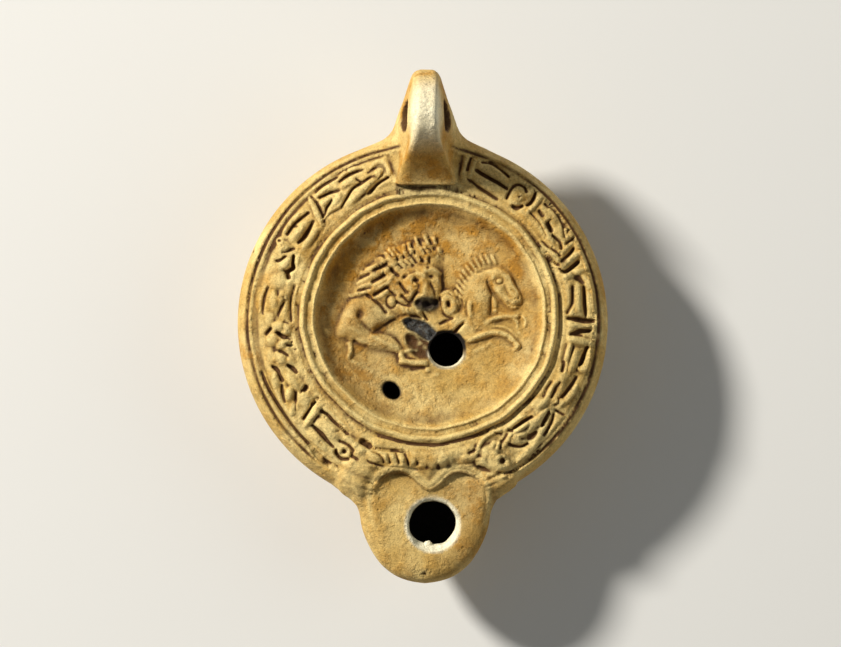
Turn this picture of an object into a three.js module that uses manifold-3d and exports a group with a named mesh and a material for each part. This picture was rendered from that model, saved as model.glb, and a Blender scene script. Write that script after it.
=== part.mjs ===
// Roman oil lamp of fired clay, one mould-made piece: a round reservoir with a sunken discus,
// a decorated shoulder, a heart-shaped nozzle and a pierced upright handle.
// Millimetres, +Z up. The origin is the centre of the flat foot, on its underside.
// The nozzle points along -Y and the handle along +Y.
import * as THREE from 'three';
import { mergeVertices } from 'three/addons/utils/BufferGeometryUtils.js';
import Module from 'manifold-3d';

const wasm = await Module();
wasm.setup();

// Reservoir
const bodyRadius = 41;
const waistHeight = 19.5;
const footRadius = 19;
const footGrooveInset = 2.6;
const footGrooveWidth = 1.2;
const footGrooveDepth = 0.6;
const wall = 2.9;
const floorThickness = 3.4;
const footBevelWidth = 0.5;
const footBevelHeight = 0.7;
const edgeRoundInset = 0.45;
const edgeRoundDrop = 1;
const edgeShoulderInset = 1.4;
// Power of the belly's rise: below 1 it is fuller
const bellyFullness = 0.8;

// Heights of the shoulder, as steps up from the waist
const shoulderRise = 5.7;
const bandSlope = 1.7;
const ringStep = 0.6;

// Discus and the rings round it, as steps outward from the discus edge
const discusRadius = 25.5;
const discusDepth = 4.3;
const innerGrooveWidth = 0.8;
const innerGrooveDepth = 0.9;
const ringRidgeWidth = 1.4;
const ringRidgeRise = 0.5;
const outerGrooveWidth = 1.3;
const outerGrooveDepth = 1.3;
const discusShiftX = 1.5;
const discusShiftY = 1;
const discusOvalShare = 0.025;

// Shoulder band and the two lines at its outer edge, as insets from the body radius
const edgeRidgeInset = 1.8;
const edgeGrooveInset = 2.4;
const edgeGrooveDepth = 0.5;
const bandRidgeInset = 3.2;
const bandOuterInset = 3.9;
const bandRidgeRise = 0.5;
const bandInnerStep = 1.2;

// Holes in the discus, placed from its centre
const fillHoleRadius = 3.7;
const fillHoleAcross = 3.7;
const fillHoleAlong = -7.1;
const holeBevel = 0.6;
const airHoleLength = 4.2;
const airHoleWidth = 3.2;
const airHoleAcross = -8.4;
const airHoleAlong = -16.2;
const airHoleTilt = 0.8;

// Broken hollow beside the filling hole
const gougeLength = 7.5;
const gougeHalfWidth = 1.7;
const gougeDepth = 1.6;
const gougeTurn = 0.38;
const gougeStartShare = 0.8;

// Nozzle
const nozzleLength = 57.6;
const nozzleHalfWidth = 14.2;
const nozzleShiftX = 0.5;
const nozzleDrop = 0.5;
const nozzleRimInset = 1.2;
const nozzleRimWidth = 1.5;
const nozzleRimRise = 0.9;
const ridgeSink = 0.15;
const heartLength = 22.2;
const heartCleft = 2.9;
const wickHoleRadius = 5.15;
const wickHoleBevel = 0.75;
const wickHoleAcross = 1.7;
const wickHoleFromTip = 12.9;
const channelHalfWidth = 8.6;
const channelHalfHeight = 5.2;
const nozzleWall = 5.6;

// Handle
const handleReach = 54.7;
const handleRise = 18.3;
const handleShiftX = 1;
const handleHalfWidth = 2.5;
const handleFlankHalfWidth = 6;
const handleBoreRadius = 3.1;
const handleBoreFromTip = 10.3;
const handleBoreBelowCrest = 12.2;
const handleGrooveDepth = 0.35;
const handleRootStep = 1;

// Relief
const figureRelief = 1.5;
const friezeRelief = 0.9;
const reliefSink = 0.9;
const crestShareOfFrieze = 0.62;
const lockHalfWidths = [0.6, 0.85];
const lockRows = 2;
const locksInRow = 5;
const lockRiseShare = 1.15;
const lockCrestShare = 0.4;
const sleeveRibs = 5;
const sleeveDots = 5;
// The figures' field is laid out in hundredths of this share of the discus radius
const figureFieldShare = 0.97;
// The mane's first lock, the steps to the next lock and the next row, and how far each lock
// runs, all in hundredths of that field
const firstLock = [-62, 24];
const lockStep = [13, 5.5];
const lockRowStep = [5, 13];
const lockRun = [10, 8];

// Number of facets round the reservoir and round a small hole
const bodyFacets = 44;
const hollowFacets = 24;
const holeFacets = 16;
const airHoleFacets = 12;

// Steps of the belly's profile outside and inside, and of the channel's round end
const bellySteps = 7;
const hollowSteps = 5;
const heartPoints = 32;
const channelSteps = 4;

// How far the shift of the discus reaches down the body, as a share of the waist's height
const shiftFromShare = 0.95;

// How far a cutting solid runs past the faces that it cuts
const cutPast = 6;

const bandOuterHeight = waistHeight + shoulderRise;
const bandInnerHeight = bandOuterHeight + bandSlope;
const discusEdgeHeight = bandInnerHeight + ringStep;
const nozzleTopHeight = bandOuterHeight - nozzleDrop;
const handleTopHeight = bandInnerHeight + handleRise;

// Radii of the shoulder's lines, worked out from the steps above
const innerGrooveRadius = discusRadius + innerGrooveWidth;
const ringRidgeRadius = innerGrooveRadius + ringRidgeWidth;
const outerGrooveRadius = ringRidgeRadius + outerGrooveWidth;
const bandInnerRadius = outerGrooveRadius + bandInnerStep;
const bandOuterRadius = bodyRadius - bandOuterInset;
const bandRidgeRadius = bodyRadius - bandRidgeInset;
const edgeGrooveRadius = bodyRadius - edgeGrooveInset;
const edgeRidgeRadius = bodyRadius - edgeRidgeInset;
const discusFloorHeight = discusEdgeHeight - discusDepth;

// The discus' dish, as shares of its radius and of its depth
const discusDish = [
  [0.965, 0.24],
  [0.91, 0.56],
  [0.83, 0.78],
  [0.66, 0.92],
];

// The top of the lamp from its waist to its axis, as radius and height
const topProfile = [
  [bodyRadius, waistHeight],
  [bodyRadius - edgeRoundInset, (waistHeight + bandOuterHeight) / 2],
  [bodyRadius - edgeShoulderInset, bandOuterHeight - edgeRoundDrop],
  [edgeRidgeRadius, bandOuterHeight],
  [edgeGrooveRadius, bandOuterHeight - edgeGrooveDepth],
  [bandRidgeRadius, bandOuterHeight + bandRidgeRise],
  [bandOuterRadius, bandOuterHeight],
  [bandInnerRadius, bandInnerHeight],
  [outerGrooveRadius, discusEdgeHeight - outerGrooveDepth],
  [ringRidgeRadius, discusEdgeHeight + ringRidgeRise],
  [innerGrooveRadius, discusEdgeHeight - innerGrooveDepth],
  [discusRadius, discusEdgeHeight],
  ...discusDish.map(([share, drop]) => [discusRadius * share, discusEdgeHeight - discusDepth * drop]),
  [0, discusFloorHeight],
];

// The belly's rounded rise from a base radius out to its full radius, without its two ends
function bellyProfile(radius, height, base, steps) {
  const points = [];
  for (let step = 1; step < steps; step += 1) {
    const turn = (step / steps) * Math.PI / 2;
    const out = base + (radius - base) * Math.sin(turn);
    points.push([out, height * (1 - Math.cos(turn)) ** bellyFullness]);
  }
  return points;
}

const footGrooveRadius = footRadius - footGrooveInset;
const undersideProfile = [
  [0, 0],
  [footGrooveRadius, 0],
  [footGrooveRadius + footGrooveWidth * 0.25, footGrooveDepth],
  [footGrooveRadius + footGrooveWidth * 0.75, footGrooveDepth],
  [footGrooveRadius + footGrooveWidth, 0],
  [footRadius, 0],
  [footRadius + footBevelWidth, footBevelHeight],
  ...bellyProfile(bodyRadius, waistHeight, footRadius + footBevelWidth, bellySteps),
];

// Height of the lamp's upper face at a radius, before any relief
function topHeight(radius) {
  const inside = Math.min(Math.max(radius, 0), bodyRadius);
  for (let place = 1; place < topProfile.length; place += 1) {
    const [outerRadius, outerHeight] = topProfile[place - 1];
    const [innerRadius, innerHeight] = topProfile[place];
    if (inside >= innerRadius) {
      const share = (inside - innerRadius) / Math.max(outerRadius - innerRadius, 1e-9);
      return innerHeight + (outerHeight - innerHeight) * share;
    }
  }
  return discusFloorHeight;
}

// The discus lies a little off the body's centre and is slightly oval. The share falls from
// one inside the rings to nothing at the body's edge.
function shiftShare(radius) {
  const share = (edgeRidgeRadius - radius) / (edgeRidgeRadius - outerGrooveRadius);
  return Math.min(Math.max(share, 0), 1);
}

function shiftedPoint(radius, azimuth) {
  const share = shiftShare(radius);
  const x = radius * Math.sin(azimuth) + discusShiftX * share;
  const y = radius * Math.cos(azimuth) * (1 - discusOvalShare * share) + discusShiftY * share;
  return [x, y];
}

function radiusAt(x, y) {
  let radius = Math.hypot(x, y);
  for (let pass = 0; pass < 8; pass += 1) {
    const share = shiftShare(radius);
    const across = x - discusShiftX * share;
    const along = (y - discusShiftY * share) / (1 - discusOvalShare * share);
    radius = Math.hypot(across, along);
  }
  return radius;
}

function surfaceHeight(x, y) {
  return topHeight(radiusAt(x, y));
}

// Solids

function toSolid(geometry) {
  const bare = geometry.index ? geometry.clone() : geometry;
  bare.deleteAttribute('normal');
  bare.deleteAttribute('uv');
  const merged = mergeVertices(bare, 1e-5);
  return new wasm.Manifold(new wasm.Mesh({
    numProp: 3,
    vertProperties: new Float32Array(merged.attributes.position.array),
    triVerts: new Uint32Array(merged.index.array),
  }));
}

function unionOf(solids) {
  let joined = solids[0];
  for (const solid of solids.slice(1)) {
    joined = joined.add(solid);
  }
  return joined;
}

// A solid from rings of equal point counts, listed from the bottom up, each anticlockwise
// from above, closed by a fan from the middle of the first and the last ring
function ringSolid(rings) {
  const count = rings[0].length;
  const positions = [];
  const triangles = [];
  for (const ring of rings) {
    for (const point of ring) {
      positions.push(...point);
    }
  }
  for (let level = 0; level + 1 < rings.length; level += 1) {
    for (let side = 0; side < count; side += 1) {
      const here = level * count + side;
      const next = level * count + (side + 1) % count;
      triangles.push(here, next, next + count);
      triangles.push(here, next + count, here + count);
    }
  }
  const middleOf = (ring) => [0, 1, 2].map(
    (axis) => ring.reduce((sum, point) => sum + point[axis], 0) / count,
  );
  const bottomMiddle = positions.length / 3;
  positions.push(...middleOf(rings[0]));
  positions.push(...middleOf(rings[rings.length - 1]));
  const topStart = (rings.length - 1) * count;
  for (let side = 0; side < count; side += 1) {
    const next = (side + 1) % count;
    triangles.push(bottomMiddle, next, side);
    triangles.push(bottomMiddle + 1, topStart + side, topStart + next);
  }
  const geometry = new THREE.BufferGeometry();
  geometry.setAttribute('position', new THREE.Float32BufferAttribute(positions, 3));
  geometry.setIndex(triangles);
  return toSolid(geometry);
}

// A turned solid about a vertical axis, from a profile that starts and ends on the axis
function turnedSolid(profile, facets, shifted) {
  const points = profile.map(([radius, height]) => new THREE.Vector2(radius, height));
  const geometry = new THREE.LatheGeometry(points, facets);
  geometry.rotateX(Math.PI / 2);
  const position = geometry.attributes.position;
  for (let index = 0; index < position.count; index += 1) {
    const x = position.getX(index);
    const y = position.getY(index);
    if (shifted && position.getZ(index) > waistHeight * shiftFromShare) {
      const [movedX, movedY] = shiftedPoint(Math.hypot(x, y), Math.atan2(x, y));
      position.setXY(index, movedX, movedY);
    }
  }
  return toSolid(geometry);
}

function outlineRing(outline, height) {
  return outline.map(([x, y]) => [x, y, height]);
}

// A hole through the upper wall, with a bevel at its mouth
function roundHole(x, y, radius, bevel, mouthHeight, bottomHeight) {
  const solid = turnedSolid([
    [0, bottomHeight],
    [radius, bottomHeight],
    [radius, mouthHeight - bevel * 2],
    [radius + bevel, mouthHeight],
    [radius + bevel, mouthHeight + cutPast],
    [0, mouthHeight + cutPast],
  ], holeFacets, false);
  return solid.translate([x, y, 0]);
}

// Relief

// A raised loaf with its outline on the lamp's upper face: its foot is sunk under the face
// and its crest is a smaller outline
function loaf(outline, relief, crestShare = 0.5) {
  const middle = [0, 1].map((axis) => outline.reduce((sum, p) => sum + p[axis], 0) / outline.length);
  const footShare = 1 + (1 - crestShare) * reliefSink / relief;
  const ringAt = (share, lift) => outline.map(([outlineX, outlineY]) => {
    const x = middle[0] + (outlineX - middle[0]) * share;
    const y = middle[1] + (outlineY - middle[1]) * share;
    return [x, y, surfaceHeight(x, y) + lift];
  });
  return ringSolid([ringAt(footShare, -reliefSink), ringAt(crestShare, relief)]);
}

// The outline of a limb that tapers from one round end to the other
function limbOutline([startX, startY], [endX, endY], startHalf, endHalf) {
  const turn = Math.atan2(endY - startY, endX - startX);
  const outline = [];
  for (const angle of [-90, -30, 30, 90]) {
    const around = turn + THREE.MathUtils.degToRad(angle);
    outline.push([endX + endHalf * Math.cos(around), endY + endHalf * Math.sin(around)]);
  }
  for (const angle of [90, 150, 210, 270]) {
    const around = turn + THREE.MathUtils.degToRad(angle);
    outline.push([startX + startHalf * Math.cos(around), startY + startHalf * Math.sin(around)]);
  }
  return outline;
}

// A closed ridge along a path on the lamp's upper face
function ridgeSolid(path, halfWidth, relief, heightAt) {
  const count = path.length;
  const foot = [];
  const rings = [[], [], []];
  for (let place = 0; place < count; place += 1) {
    const [x, y] = path[place];
    const [beforeX, beforeY] = path[(place + count - 1) % count];
    const [afterX, afterY] = path[(place + 1) % count];
    const length = Math.hypot(afterX - beforeX, afterY - beforeY);
    const outX = (afterY - beforeY) / length;
    const outY = -(afterX - beforeX) / length;
    const height = heightAt(x, y);
    rings[0].push([x + outX * halfWidth, y + outY * halfWidth, height - ridgeSink]);
    rings[1].push([x, y, height + relief]);
    rings[2].push([x - outX * halfWidth, y - outY * halfWidth, height - ridgeSink]);
    foot.push([x, y, height - ridgeSink - reliefSink]);
  }
  const loops = [foot, ...rings];
  const positions = loops.flat(2);
  const triangles = [];
  for (let loop = 0; loop < loops.length; loop += 1) {
    const nextLoop = (loop + 1) % loops.length;
    for (let place = 0; place < count; place += 1) {
      const next = (place + 1) % count;
      const corner = loop * count + place;
      const cornerNext = loop * count + next;
      const across = nextLoop * count + place;
      const acrossNext = nextLoop * count + next;
      triangles.push(corner, cornerNext, acrossNext);
      triangles.push(corner, acrossNext, across);
    }
  }
  const geometry = new THREE.BufferGeometry();
  geometry.setAttribute('position', new THREE.Float32BufferAttribute(positions, 3));
  geometry.setIndex(triangles);
  return toSolid(geometry);
}

// A point of the discus figures, in hundredths of their field from the discus centre
const hundredth = discusRadius * figureFieldShare / 100;

function onDiscus(across, up) {
  return [discusShiftX + across * hundredth, discusShiftY + up * hundredth];
}

// Each limb: start, end, half widths at both, relief as a share of the figures' relief
const lionLimbs = [
  { name: 'back', from: [-60, 6], to: [-34, 22], half: [20, 19], rise: 0.8 },
  { name: 'rump', from: [-70, -8], to: [-66, -20], half: [14, 13], rise: 0.75 },
  { name: 'belly', from: [-44, -4], to: [-20, 4], half: [12, 14], rise: 0.7 },
  { name: 'chest', from: [-22, 22], to: [-8, 6], half: [17, 15], rise: 0.9 },
  { name: 'mane', from: [-46, 36], to: [-22, 46], half: [12, 14], rise: 0.95 },
  { name: 'maneCrest', from: [-34, 52], to: [-2, 62], half: [8, 9], rise: 0.9 },
  { name: 'brow', from: [-14, 42], to: [4, 44], half: [16, 12], rise: 1.2 },
  { name: 'muzzle', from: [-6, 28], to: [0, 22], half: [10, 8], rise: 1.45 },
  { name: 'jaw', from: [-12, 12], to: [4, 8], half: [8, 7], rise: 1 },
  { name: 'hindThigh', from: [-62, -22], to: [-36, -30], half: [11, 8], rise: 1 },
  { name: 'hindFoot', from: [-32, -32], to: [-6, -40], half: [6, 5], rise: 0.9 },
  { name: 'hindToes', from: [-3, -46], to: [7, -51], half: [5, 4], rise: 0.8 },
  { name: 'farLeg', from: [-78, -22], to: [-70, -36], half: [7, 5], rise: 0.7 },
  { name: 'farFoot', from: [-66, -41], to: [-50, -46], half: [5, 4], rise: 0.7 },
  { name: 'tail', from: [-92, -10], to: [-84, -18], half: [4, 4], rise: 0.6 },
  { name: 'foreleg', from: [-2, 2], to: [16, 10], half: [8, 9], rise: 1.1 },
  { name: 'paw', from: [16, 11], to: [26, 12], half: [9, 7], rise: 1.3 },
];

const horseLimbs = [
  { name: 'neck', from: [44, 34], to: [50, -2], half: [15, 13], rise: 1 },
  { name: 'crest', from: [34, 40], to: [44, 54], half: [6, 7], rise: 1.1 },
  { name: 'forelock', from: [50, 54], to: [62, 52], half: [6, 6], rise: 1.15 },
  { name: 'cheek', from: [56, 28], to: [66, 32], half: [13, 14], rise: 1.3 },
  { name: 'nose', from: [72, 34], to: [80, 14], half: [10, 7], rise: 1.2 },
  { name: 'bridle', from: [36, 16], to: [37, 4], half: [5, 5], rise: 1 },
  { name: 'upperArm', from: [48, -3], to: [76, 3], half: [6, 6], rise: 1.1 },
  { name: 'upperHoof', from: [77, 2], to: [84, -8], half: [6, 5], rise: 1 },
  { name: 'lowerArm', from: [38, -20], to: [68, -14], half: [6, 6], rise: 1.1 },
  { name: 'lowerHoof', from: [68, -15], to: [80, -25], half: [6, 5], rise: 1 },
  { name: 'breast', from: [32, -6], to: [30, -30], half: [10, 8], rise: 0.7 },
];

function figureSolids(limbs) {
  return limbs.map(({ from, to, half, rise }) => {
    const outline = limbOutline(
      onDiscus(...from),
      onDiscus(...to),
      half[0] * hundredth,
      half[1] * hundredth,
    );
    return loaf(outline, figureRelief * rise);
  });
}

// Slanting locks of the lion's mane, in two rows along its neck
function maneLocks() {
  const locks = [];
  for (let row = 0; row < lockRows; row += 1) {
    for (let lock = 0; lock < locksInRow; lock += 1) {
      const across = firstLock[0] + lock * lockStep[0] + row * lockRowStep[0];
      const up = firstLock[1] + lock * lockStep[1] + row * lockRowStep[1];
      const outline = limbOutline(
        onDiscus(across, up),
        onDiscus(across + lockRun[0], up + lockRun[1]),
        ...lockHalfWidths,
      );
      locks.push(loaf(outline, figureRelief * lockRiseShare, lockCrestShare));
    }
  }
  return locks;
}

// The frieze of arms and armour. Azimuths are degrees clockwise from the handle, seen from
// above, and radii are shares of the band's width from its inner edge. Reach is half a piece's
// length in degrees, half is half its width as a share of the band's, and tilt is in degrees.
const friezePieces = [
  { name: 'bars', azimuth: 15, share: 0.5, reach: 1.5, half: 0.45, tilt: 90 },
  { name: 'shield', azimuth: 24.5, share: 0.5, reach: 6, half: 0.42, tilt: 0 },
  { name: 'plate', azimuth: 37, share: 0.5, reach: 4, half: 0.42, tilt: 0 },
  { name: 'helmet', azimuth: 52, share: 0.55, reach: 6.5, half: 0.36, tilt: 4 },
  { name: 'thong', azimuth: 61, share: 0.35, reach: 3.5, half: 0.16, tilt: 35 },
  { name: 'dagger', azimuth: 67.5, share: 0.5, reach: 2.6, half: 0.2, tilt: 85 },
  { name: 'greave', azimuth: 80.5, share: 0.55, reach: 7.5, half: 0.38, tilt: 0 },
  { name: 'strap', azimuth: 92.5, share: 0.5, reach: 2.7, half: 0.14, tilt: 90 },
  { name: 'sword', azimuth: 97.5, share: 0.5, reach: 2.8, half: 0.14, tilt: 90 },
  { name: 'breastplate', azimuth: 107.5, share: 0.5, reach: 8, half: 0.4, tilt: 0 },
  { name: 'knot', azimuth: 121, share: 0.55, reach: 3, half: 0.3, tilt: 40 },
  { name: 'greatHelmet', azimuth: 137, share: 0.55, reach: 10, half: 0.4, tilt: 0 },
  { name: 'visor', azimuth: 153.5, share: 0.6, reach: 3, half: 0.34, tilt: 0 },
  { name: 'sleeve', azimuth: 207, share: 0.45, reach: 3, half: 0.26, tilt: 30 },
  { name: 'gorget', azimuth: 212.5, share: 0.7, reach: 3, half: 0.26, tilt: 0 },
  { name: 'longGreave', azimuth: 223, share: 0.55, reach: 6, half: 0.34, tilt: 0 },
  { name: 'bar', azimuth: 232, share: 0.5, reach: 2.9, half: 0.16, tilt: 90 },
  { name: 'leafLow', azimuth: 238, share: 0.45, reach: 4.2, half: 0.24, tilt: 40 },
  { name: 'leafMiddle', azimuth: 246, share: 0.5, reach: 4.2, half: 0.24, tilt: 40 },
  { name: 'leafHigh', azimuth: 254, share: 0.5, reach: 4, half: 0.24, tilt: 40 },
  { name: 'wornPlate', azimuth: 265, share: 0.55, reach: 5, half: 0.34, tilt: 0 },
  { name: 'wornHelmet', azimuth: 277, share: 0.6, reach: 5, half: 0.32, tilt: 0 },
  { name: 'boss', azimuth: 287, share: 0.6, reach: 3.6, half: 0.34, tilt: 20 },
  { name: 'ovalShield', azimuth: 302, share: 0.55, reach: 7, half: 0.4, tilt: 0 },
  { name: 'blade', azimuth: 314.5, share: 0.55, reach: 3, half: 0.15, tilt: 80 },
  { name: 'plume', azimuth: 323, share: 0.6, reach: 4, half: 0.34, tilt: 0 },
  { name: 'limb', azimuth: 333, share: 0.5, reach: 7, half: 0.2, tilt: -22 },
  { name: 'brim', azimuth: 340, share: 0.8, reach: 4, half: 0.16, tilt: 0 },
];

const bandWidth = bandOuterRadius - bandInnerRadius;
// A piece that stands across the band takes its length from the band's width
const standingTilt = 75;
const standingHalfShare = 0.42;
const shortestRunShare = 0.2;
const friezeInnerGap = 0.1;
const friezeOuterLap = 0.3;
// The ribs of the sleeve beside the nozzle and the dots on its other side, by their first one
const firstRib = { azimuth: 187.5, share: 0.2, reach: 1, half: 0.13, tilt: 90 };
const ribStep = 3;
const firstDot = { azimuth: 164, share: 0.18, reach: 1, half: 0.13, tilt: 0 };
const dotStep = 3.4;

function friezePiece({ azimuth, share, reach, half, tilt }) {
  const middleRadius = bandInnerRadius + bandWidth * share;
  const turn = THREE.MathUtils.degToRad(tilt);
  const bearing = THREE.MathUtils.degToRad(azimuth);
  const lyingHalf = middleRadius * THREE.MathUtils.degToRad(reach);
  const halfLength = tilt >= standingTilt ? bandWidth * standingHalfShare : lyingHalf;
  const halfWidth = bandWidth * half;
  const run = Math.max(halfLength - halfWidth, halfLength * shortestRunShare);
  const from = [-run * Math.cos(turn), -run * Math.sin(turn)];
  const to = [run * Math.cos(turn), run * Math.sin(turn)];
  const flat = limbOutline(from, to, halfWidth, halfWidth);
  const lowest = bandInnerRadius + friezeInnerGap;
  const highest = bandOuterRadius + friezeOuterLap;
  const outline = flat.map(([along, outward]) => {
    const radius = Math.min(Math.max(middleRadius + outward, lowest), highest);
    return shiftedPoint(radius, bearing + along / middleRadius);
  });
  return loaf(outline, friezeRelief, crestShareOfFrieze);
}

function friezeRow(first, step, count) {
  const pieces = [];
  for (let place = 0; place < count; place += 1) {
    pieces.push(friezePiece({ ...first, azimuth: first.azimuth + place * step }));
  }
  return pieces;
}

// Nozzle

// Half the nozzle's plan, as shares of its length beyond the shoulder and of its half width
const nozzlePlan = [
  [0, 1.42],
  [0.12, 1.16],
  [0.26, 1.03],
  [0.42, 0.985],
  [0.56, 0.91],
  [0.7, 0.8],
  [0.82, 0.66],
  [0.92, 0.46],
  [0.975, 0.24],
  [1, 0],
];

// The nozzle's level outlines from its underside up, as height share, reach share and width share
const nozzleLevels = [
  { height: 0.08, reach: 0.12, width: 0.42 },
  { height: 0.18, reach: 0.5, width: 0.56 },
  { height: 0.32, reach: 0.76, width: 0.7 },
  { height: 0.48, reach: 0.9, width: 0.83 },
  { height: 0.66, reach: 0.98, width: 0.94 },
  { height: 0.84, reach: 1, width: 1 },
  { height: 0.95, reach: 0.985, width: 0.985 },
  { height: 1, reach: 0.955, width: 0.95 },
];

// The nozzle's plan begins on the shoulder, and its solid further in under the discus rings
const nozzleRoot = bodyRadius * 0.88;
const nozzleBeyond = nozzleLength - nozzleRoot;
const nozzleInner = bodyRadius * 0.62;
const nozzleInnerWidthShare = 0.9;
// How far a lower outline is moved towards the body, as a share of what its reach leaves
const nozzleSweepShare = 0.4;

function nozzleOutline({ reach, width }) {
  const right = nozzlePlan.map(([along, half]) => [
    nozzleShiftX + half * nozzleHalfWidth * width,
    -(nozzleRoot + along * nozzleBeyond) * reach - nozzleInner * (1 - reach) * nozzleSweepShare,
  ]);
  const left = right.slice(0, -1).reverse().map(([x, y]) => [2 * nozzleShiftX - x, y]);
  const innerHalf = nozzleHalfWidth * width * nozzleInnerWidthShare;
  const outline = [
    [nozzleShiftX - innerHalf, -nozzleInner],
    ...left.reverse(),
    ...right.reverse(),
    [nozzleShiftX + innerHalf, -nozzleInner],
  ];
  return outline;
}

function nozzleBlank() {
  const rings = nozzleLevels.map((level) => {
    const height = level.height * nozzleTopHeight;
    return outlineRing(nozzleOutline(level), height);
  });
  return ringSolid(rings);
}

// Half the heart's outline, as shares of its half width and of its length from the lobes' tops
const heartSide = [
  [0.35, 0.03],
  [0.6, 0],
  [0.85, 0.06],
  [0.98, 0.175],
  [1, 0.32],
  [0.96, 0.475],
  [0.86, 0.655],
  [0.7, 0.8],
  [0.45, 0.925],
  [0.2, 0.985],
];

// The heart round the nozzle's top, inside its edge and with two lobes on the shoulder
function heartPath(inset) {
  const half = nozzleHalfWidth - nozzleRimInset - inset;
  const tip = -(nozzleLength - nozzleRimInset * 2 - inset);
  const lobe = tip + heartLength - inset * 2;
  const place = ([across, along], side) => new THREE.Vector3(
    nozzleShiftX + side * half * across,
    lobe + (tip - lobe) * along,
    0,
  );
  const points = [
    new THREE.Vector3(nozzleShiftX, lobe - heartCleft, 0),
    ...heartSide.map((point) => place(point, 1)),
    new THREE.Vector3(nozzleShiftX, tip, 0),
    ...[...heartSide].reverse().map((point) => place(point, -1)),
  ];
  const curve = new THREE.CatmullRomCurve3(points, true, 'centripetal');
  return curve.getSpacedPoints(heartPoints).slice(0, -1).map((point) => [point.x, point.y]);
}

function heartCut() {
  const outline = heartPath(nozzleRimWidth / 3).reverse();
  return ringSolid([
    outlineRing(outline, nozzleTopHeight),
    outlineRing(outline, nozzleTopHeight + cutPast),
  ]);
}

function heartRim() {
  const heightAt = (x, y) => Math.max(surfaceHeight(x, y), nozzleTopHeight);
  return ridgeSolid(heartPath(0), nozzleRimWidth / 2, nozzleRimRise, heightAt);
}

// Handle

// Cross-sections of the handle from its root to its reach. along is the share of that way,
// crest and under are heights over the shoulder as shares of the handle's rise, half and flank
// are shares of the top's and the flank's half widths, and hollow is how far the flank is
// drawn in between its widest level and the top.
const handleRoot = ringRidgeRadius + discusShiftY + handleRootStep;
const handleSections = [
  { along: 0, crest: 0.13, under: -0.7, half: 2.5, flank: 1.2, hollow: 1 },
  { along: 0.1, crest: 0.26, under: -0.7, half: 2.1, flank: 1.6, hollow: 1.6 },
  { along: 0.22, crest: 0.5, under: -0.72, half: 1.66, flank: 2, hollow: 2.2 },
  { along: 0.33, crest: 0.78, under: -0.74, half: 1.3, flank: 2.15, hollow: 2.6 },
  { along: 0.42, crest: 0.94, under: -0.72, half: 1.08, flank: 1.45, hollow: 1.7 },
  { along: 0.53, crest: 1, under: -0.62, half: 0.96, flank: 1.1, hollow: 1.1 },
  { along: 0.64, crest: 0.98, under: -0.47, half: 0.94, flank: 0.96, hollow: 1 },
  { along: 0.76, crest: 0.87, under: -0.27, half: 0.94, flank: 0.8, hollow: 1 },
  { along: 0.87, crest: 0.68, under: -0.06, half: 0.96, flank: 0.66, hollow: 1 },
  { along: 0.95, crest: 0.46, under: 0.02, half: 0.9, flank: 0.52, hollow: 1 },
  { along: 1, crest: 0.28, under: 0.12, half: 0.55, flank: 0.36, hollow: 1 },
];

// Levels of the flank from its widest place up to the top, as shares of that height
const flankLevels = [0, 0.25, 0.5, 0.75, 0.93];
const flankWidestShare = 0.27;
const underHalfShare = 0.42;
const lowFlankShare = 0.8;
// The strip along the handle's top, as shares of its half width
const stripEdgeShare = 0.72;
const stripGrooveShare = 0.3;

function handleSection({ along, crest, under, half, flank, hollow }) {
  const y = handleRoot + (handleReach - handleRoot) * along;
  const top = bandInnerHeight + handleRise * crest;
  const bottom = bandInnerHeight + handleRise * under;
  const topHalf = handleHalfWidth * half;
  const flankHalf = Math.max(handleFlankHalfWidth * flank, topHalf);
  const widest = bottom + (top - bottom) * flankWidestShare;
  const right = [
    [flankHalf * underHalfShare, bottom],
    [flankHalf * lowFlankShare, (bottom + widest) / 2],
    ...flankLevels.map((level) => [
      topHalf + (flankHalf - topHalf) * (1 - level) ** hollow,
      widest + (top - widest) * level,
    ]),
    [topHalf * stripEdgeShare, top],
    [topHalf * stripGrooveShare, top - handleGrooveDepth],
  ];
  const left = right.map(([x, z]) => [-x, z]).reverse();
  return [...right, ...left].map(([x, z]) => [handleShiftX + x, y, z]);
}

function handleBlank() {
  return ringSolid(handleSections.map((section) => handleSection(section).reverse()));
}

function handleBore() {
  const bore = new THREE.CylinderGeometry(handleBoreRadius, handleBoreRadius, bodyRadius * 2, holeFacets);
  bore.rotateZ(Math.PI / 2);
  bore.translate(
    handleShiftX,
    handleReach - handleBoreFromTip,
    handleTopHeight - handleBoreBelowCrest,
  );
  return toSolid(bore);
}

// Hollow

const hollowRadius = bodyRadius - wall;
const hollowCornerInset = 1.2;
const hollowEdgeRound = 1;

// The discus from below, as shares of its radius and of its depth over the middle
const discusUnderside = [
  [0.88, 0.3],
  [0.66, 0.08],
];

function reservoirHollow() {
  const corner = footRadius - hollowCornerInset;
  const belly = bellyProfile(hollowRadius, waistHeight - floorThickness, corner, hollowSteps);
  const profile = [
    [0, floorThickness],
    [corner, floorThickness],
    ...belly.map(([radius, height]) => [radius, height + floorThickness]),
    [hollowRadius, waistHeight],
    [hollowRadius - hollowEdgeRound, bandOuterHeight - wall - hollowEdgeRound / 2],
    [bandOuterRadius - hollowEdgeRound, bandOuterHeight - wall],
    [bandInnerRadius, bandInnerHeight - wall],
    [discusRadius, bandInnerHeight - wall - hollowEdgeRound],
    ...discusUnderside.map(([share, rise]) => [
      discusRadius * share,
      discusFloorHeight - wall + discusDepth * rise,
    ]),
    [0, discusFloorHeight - wall],
  ];
  return turnedSolid(profile, hollowFacets, true);
}

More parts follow.
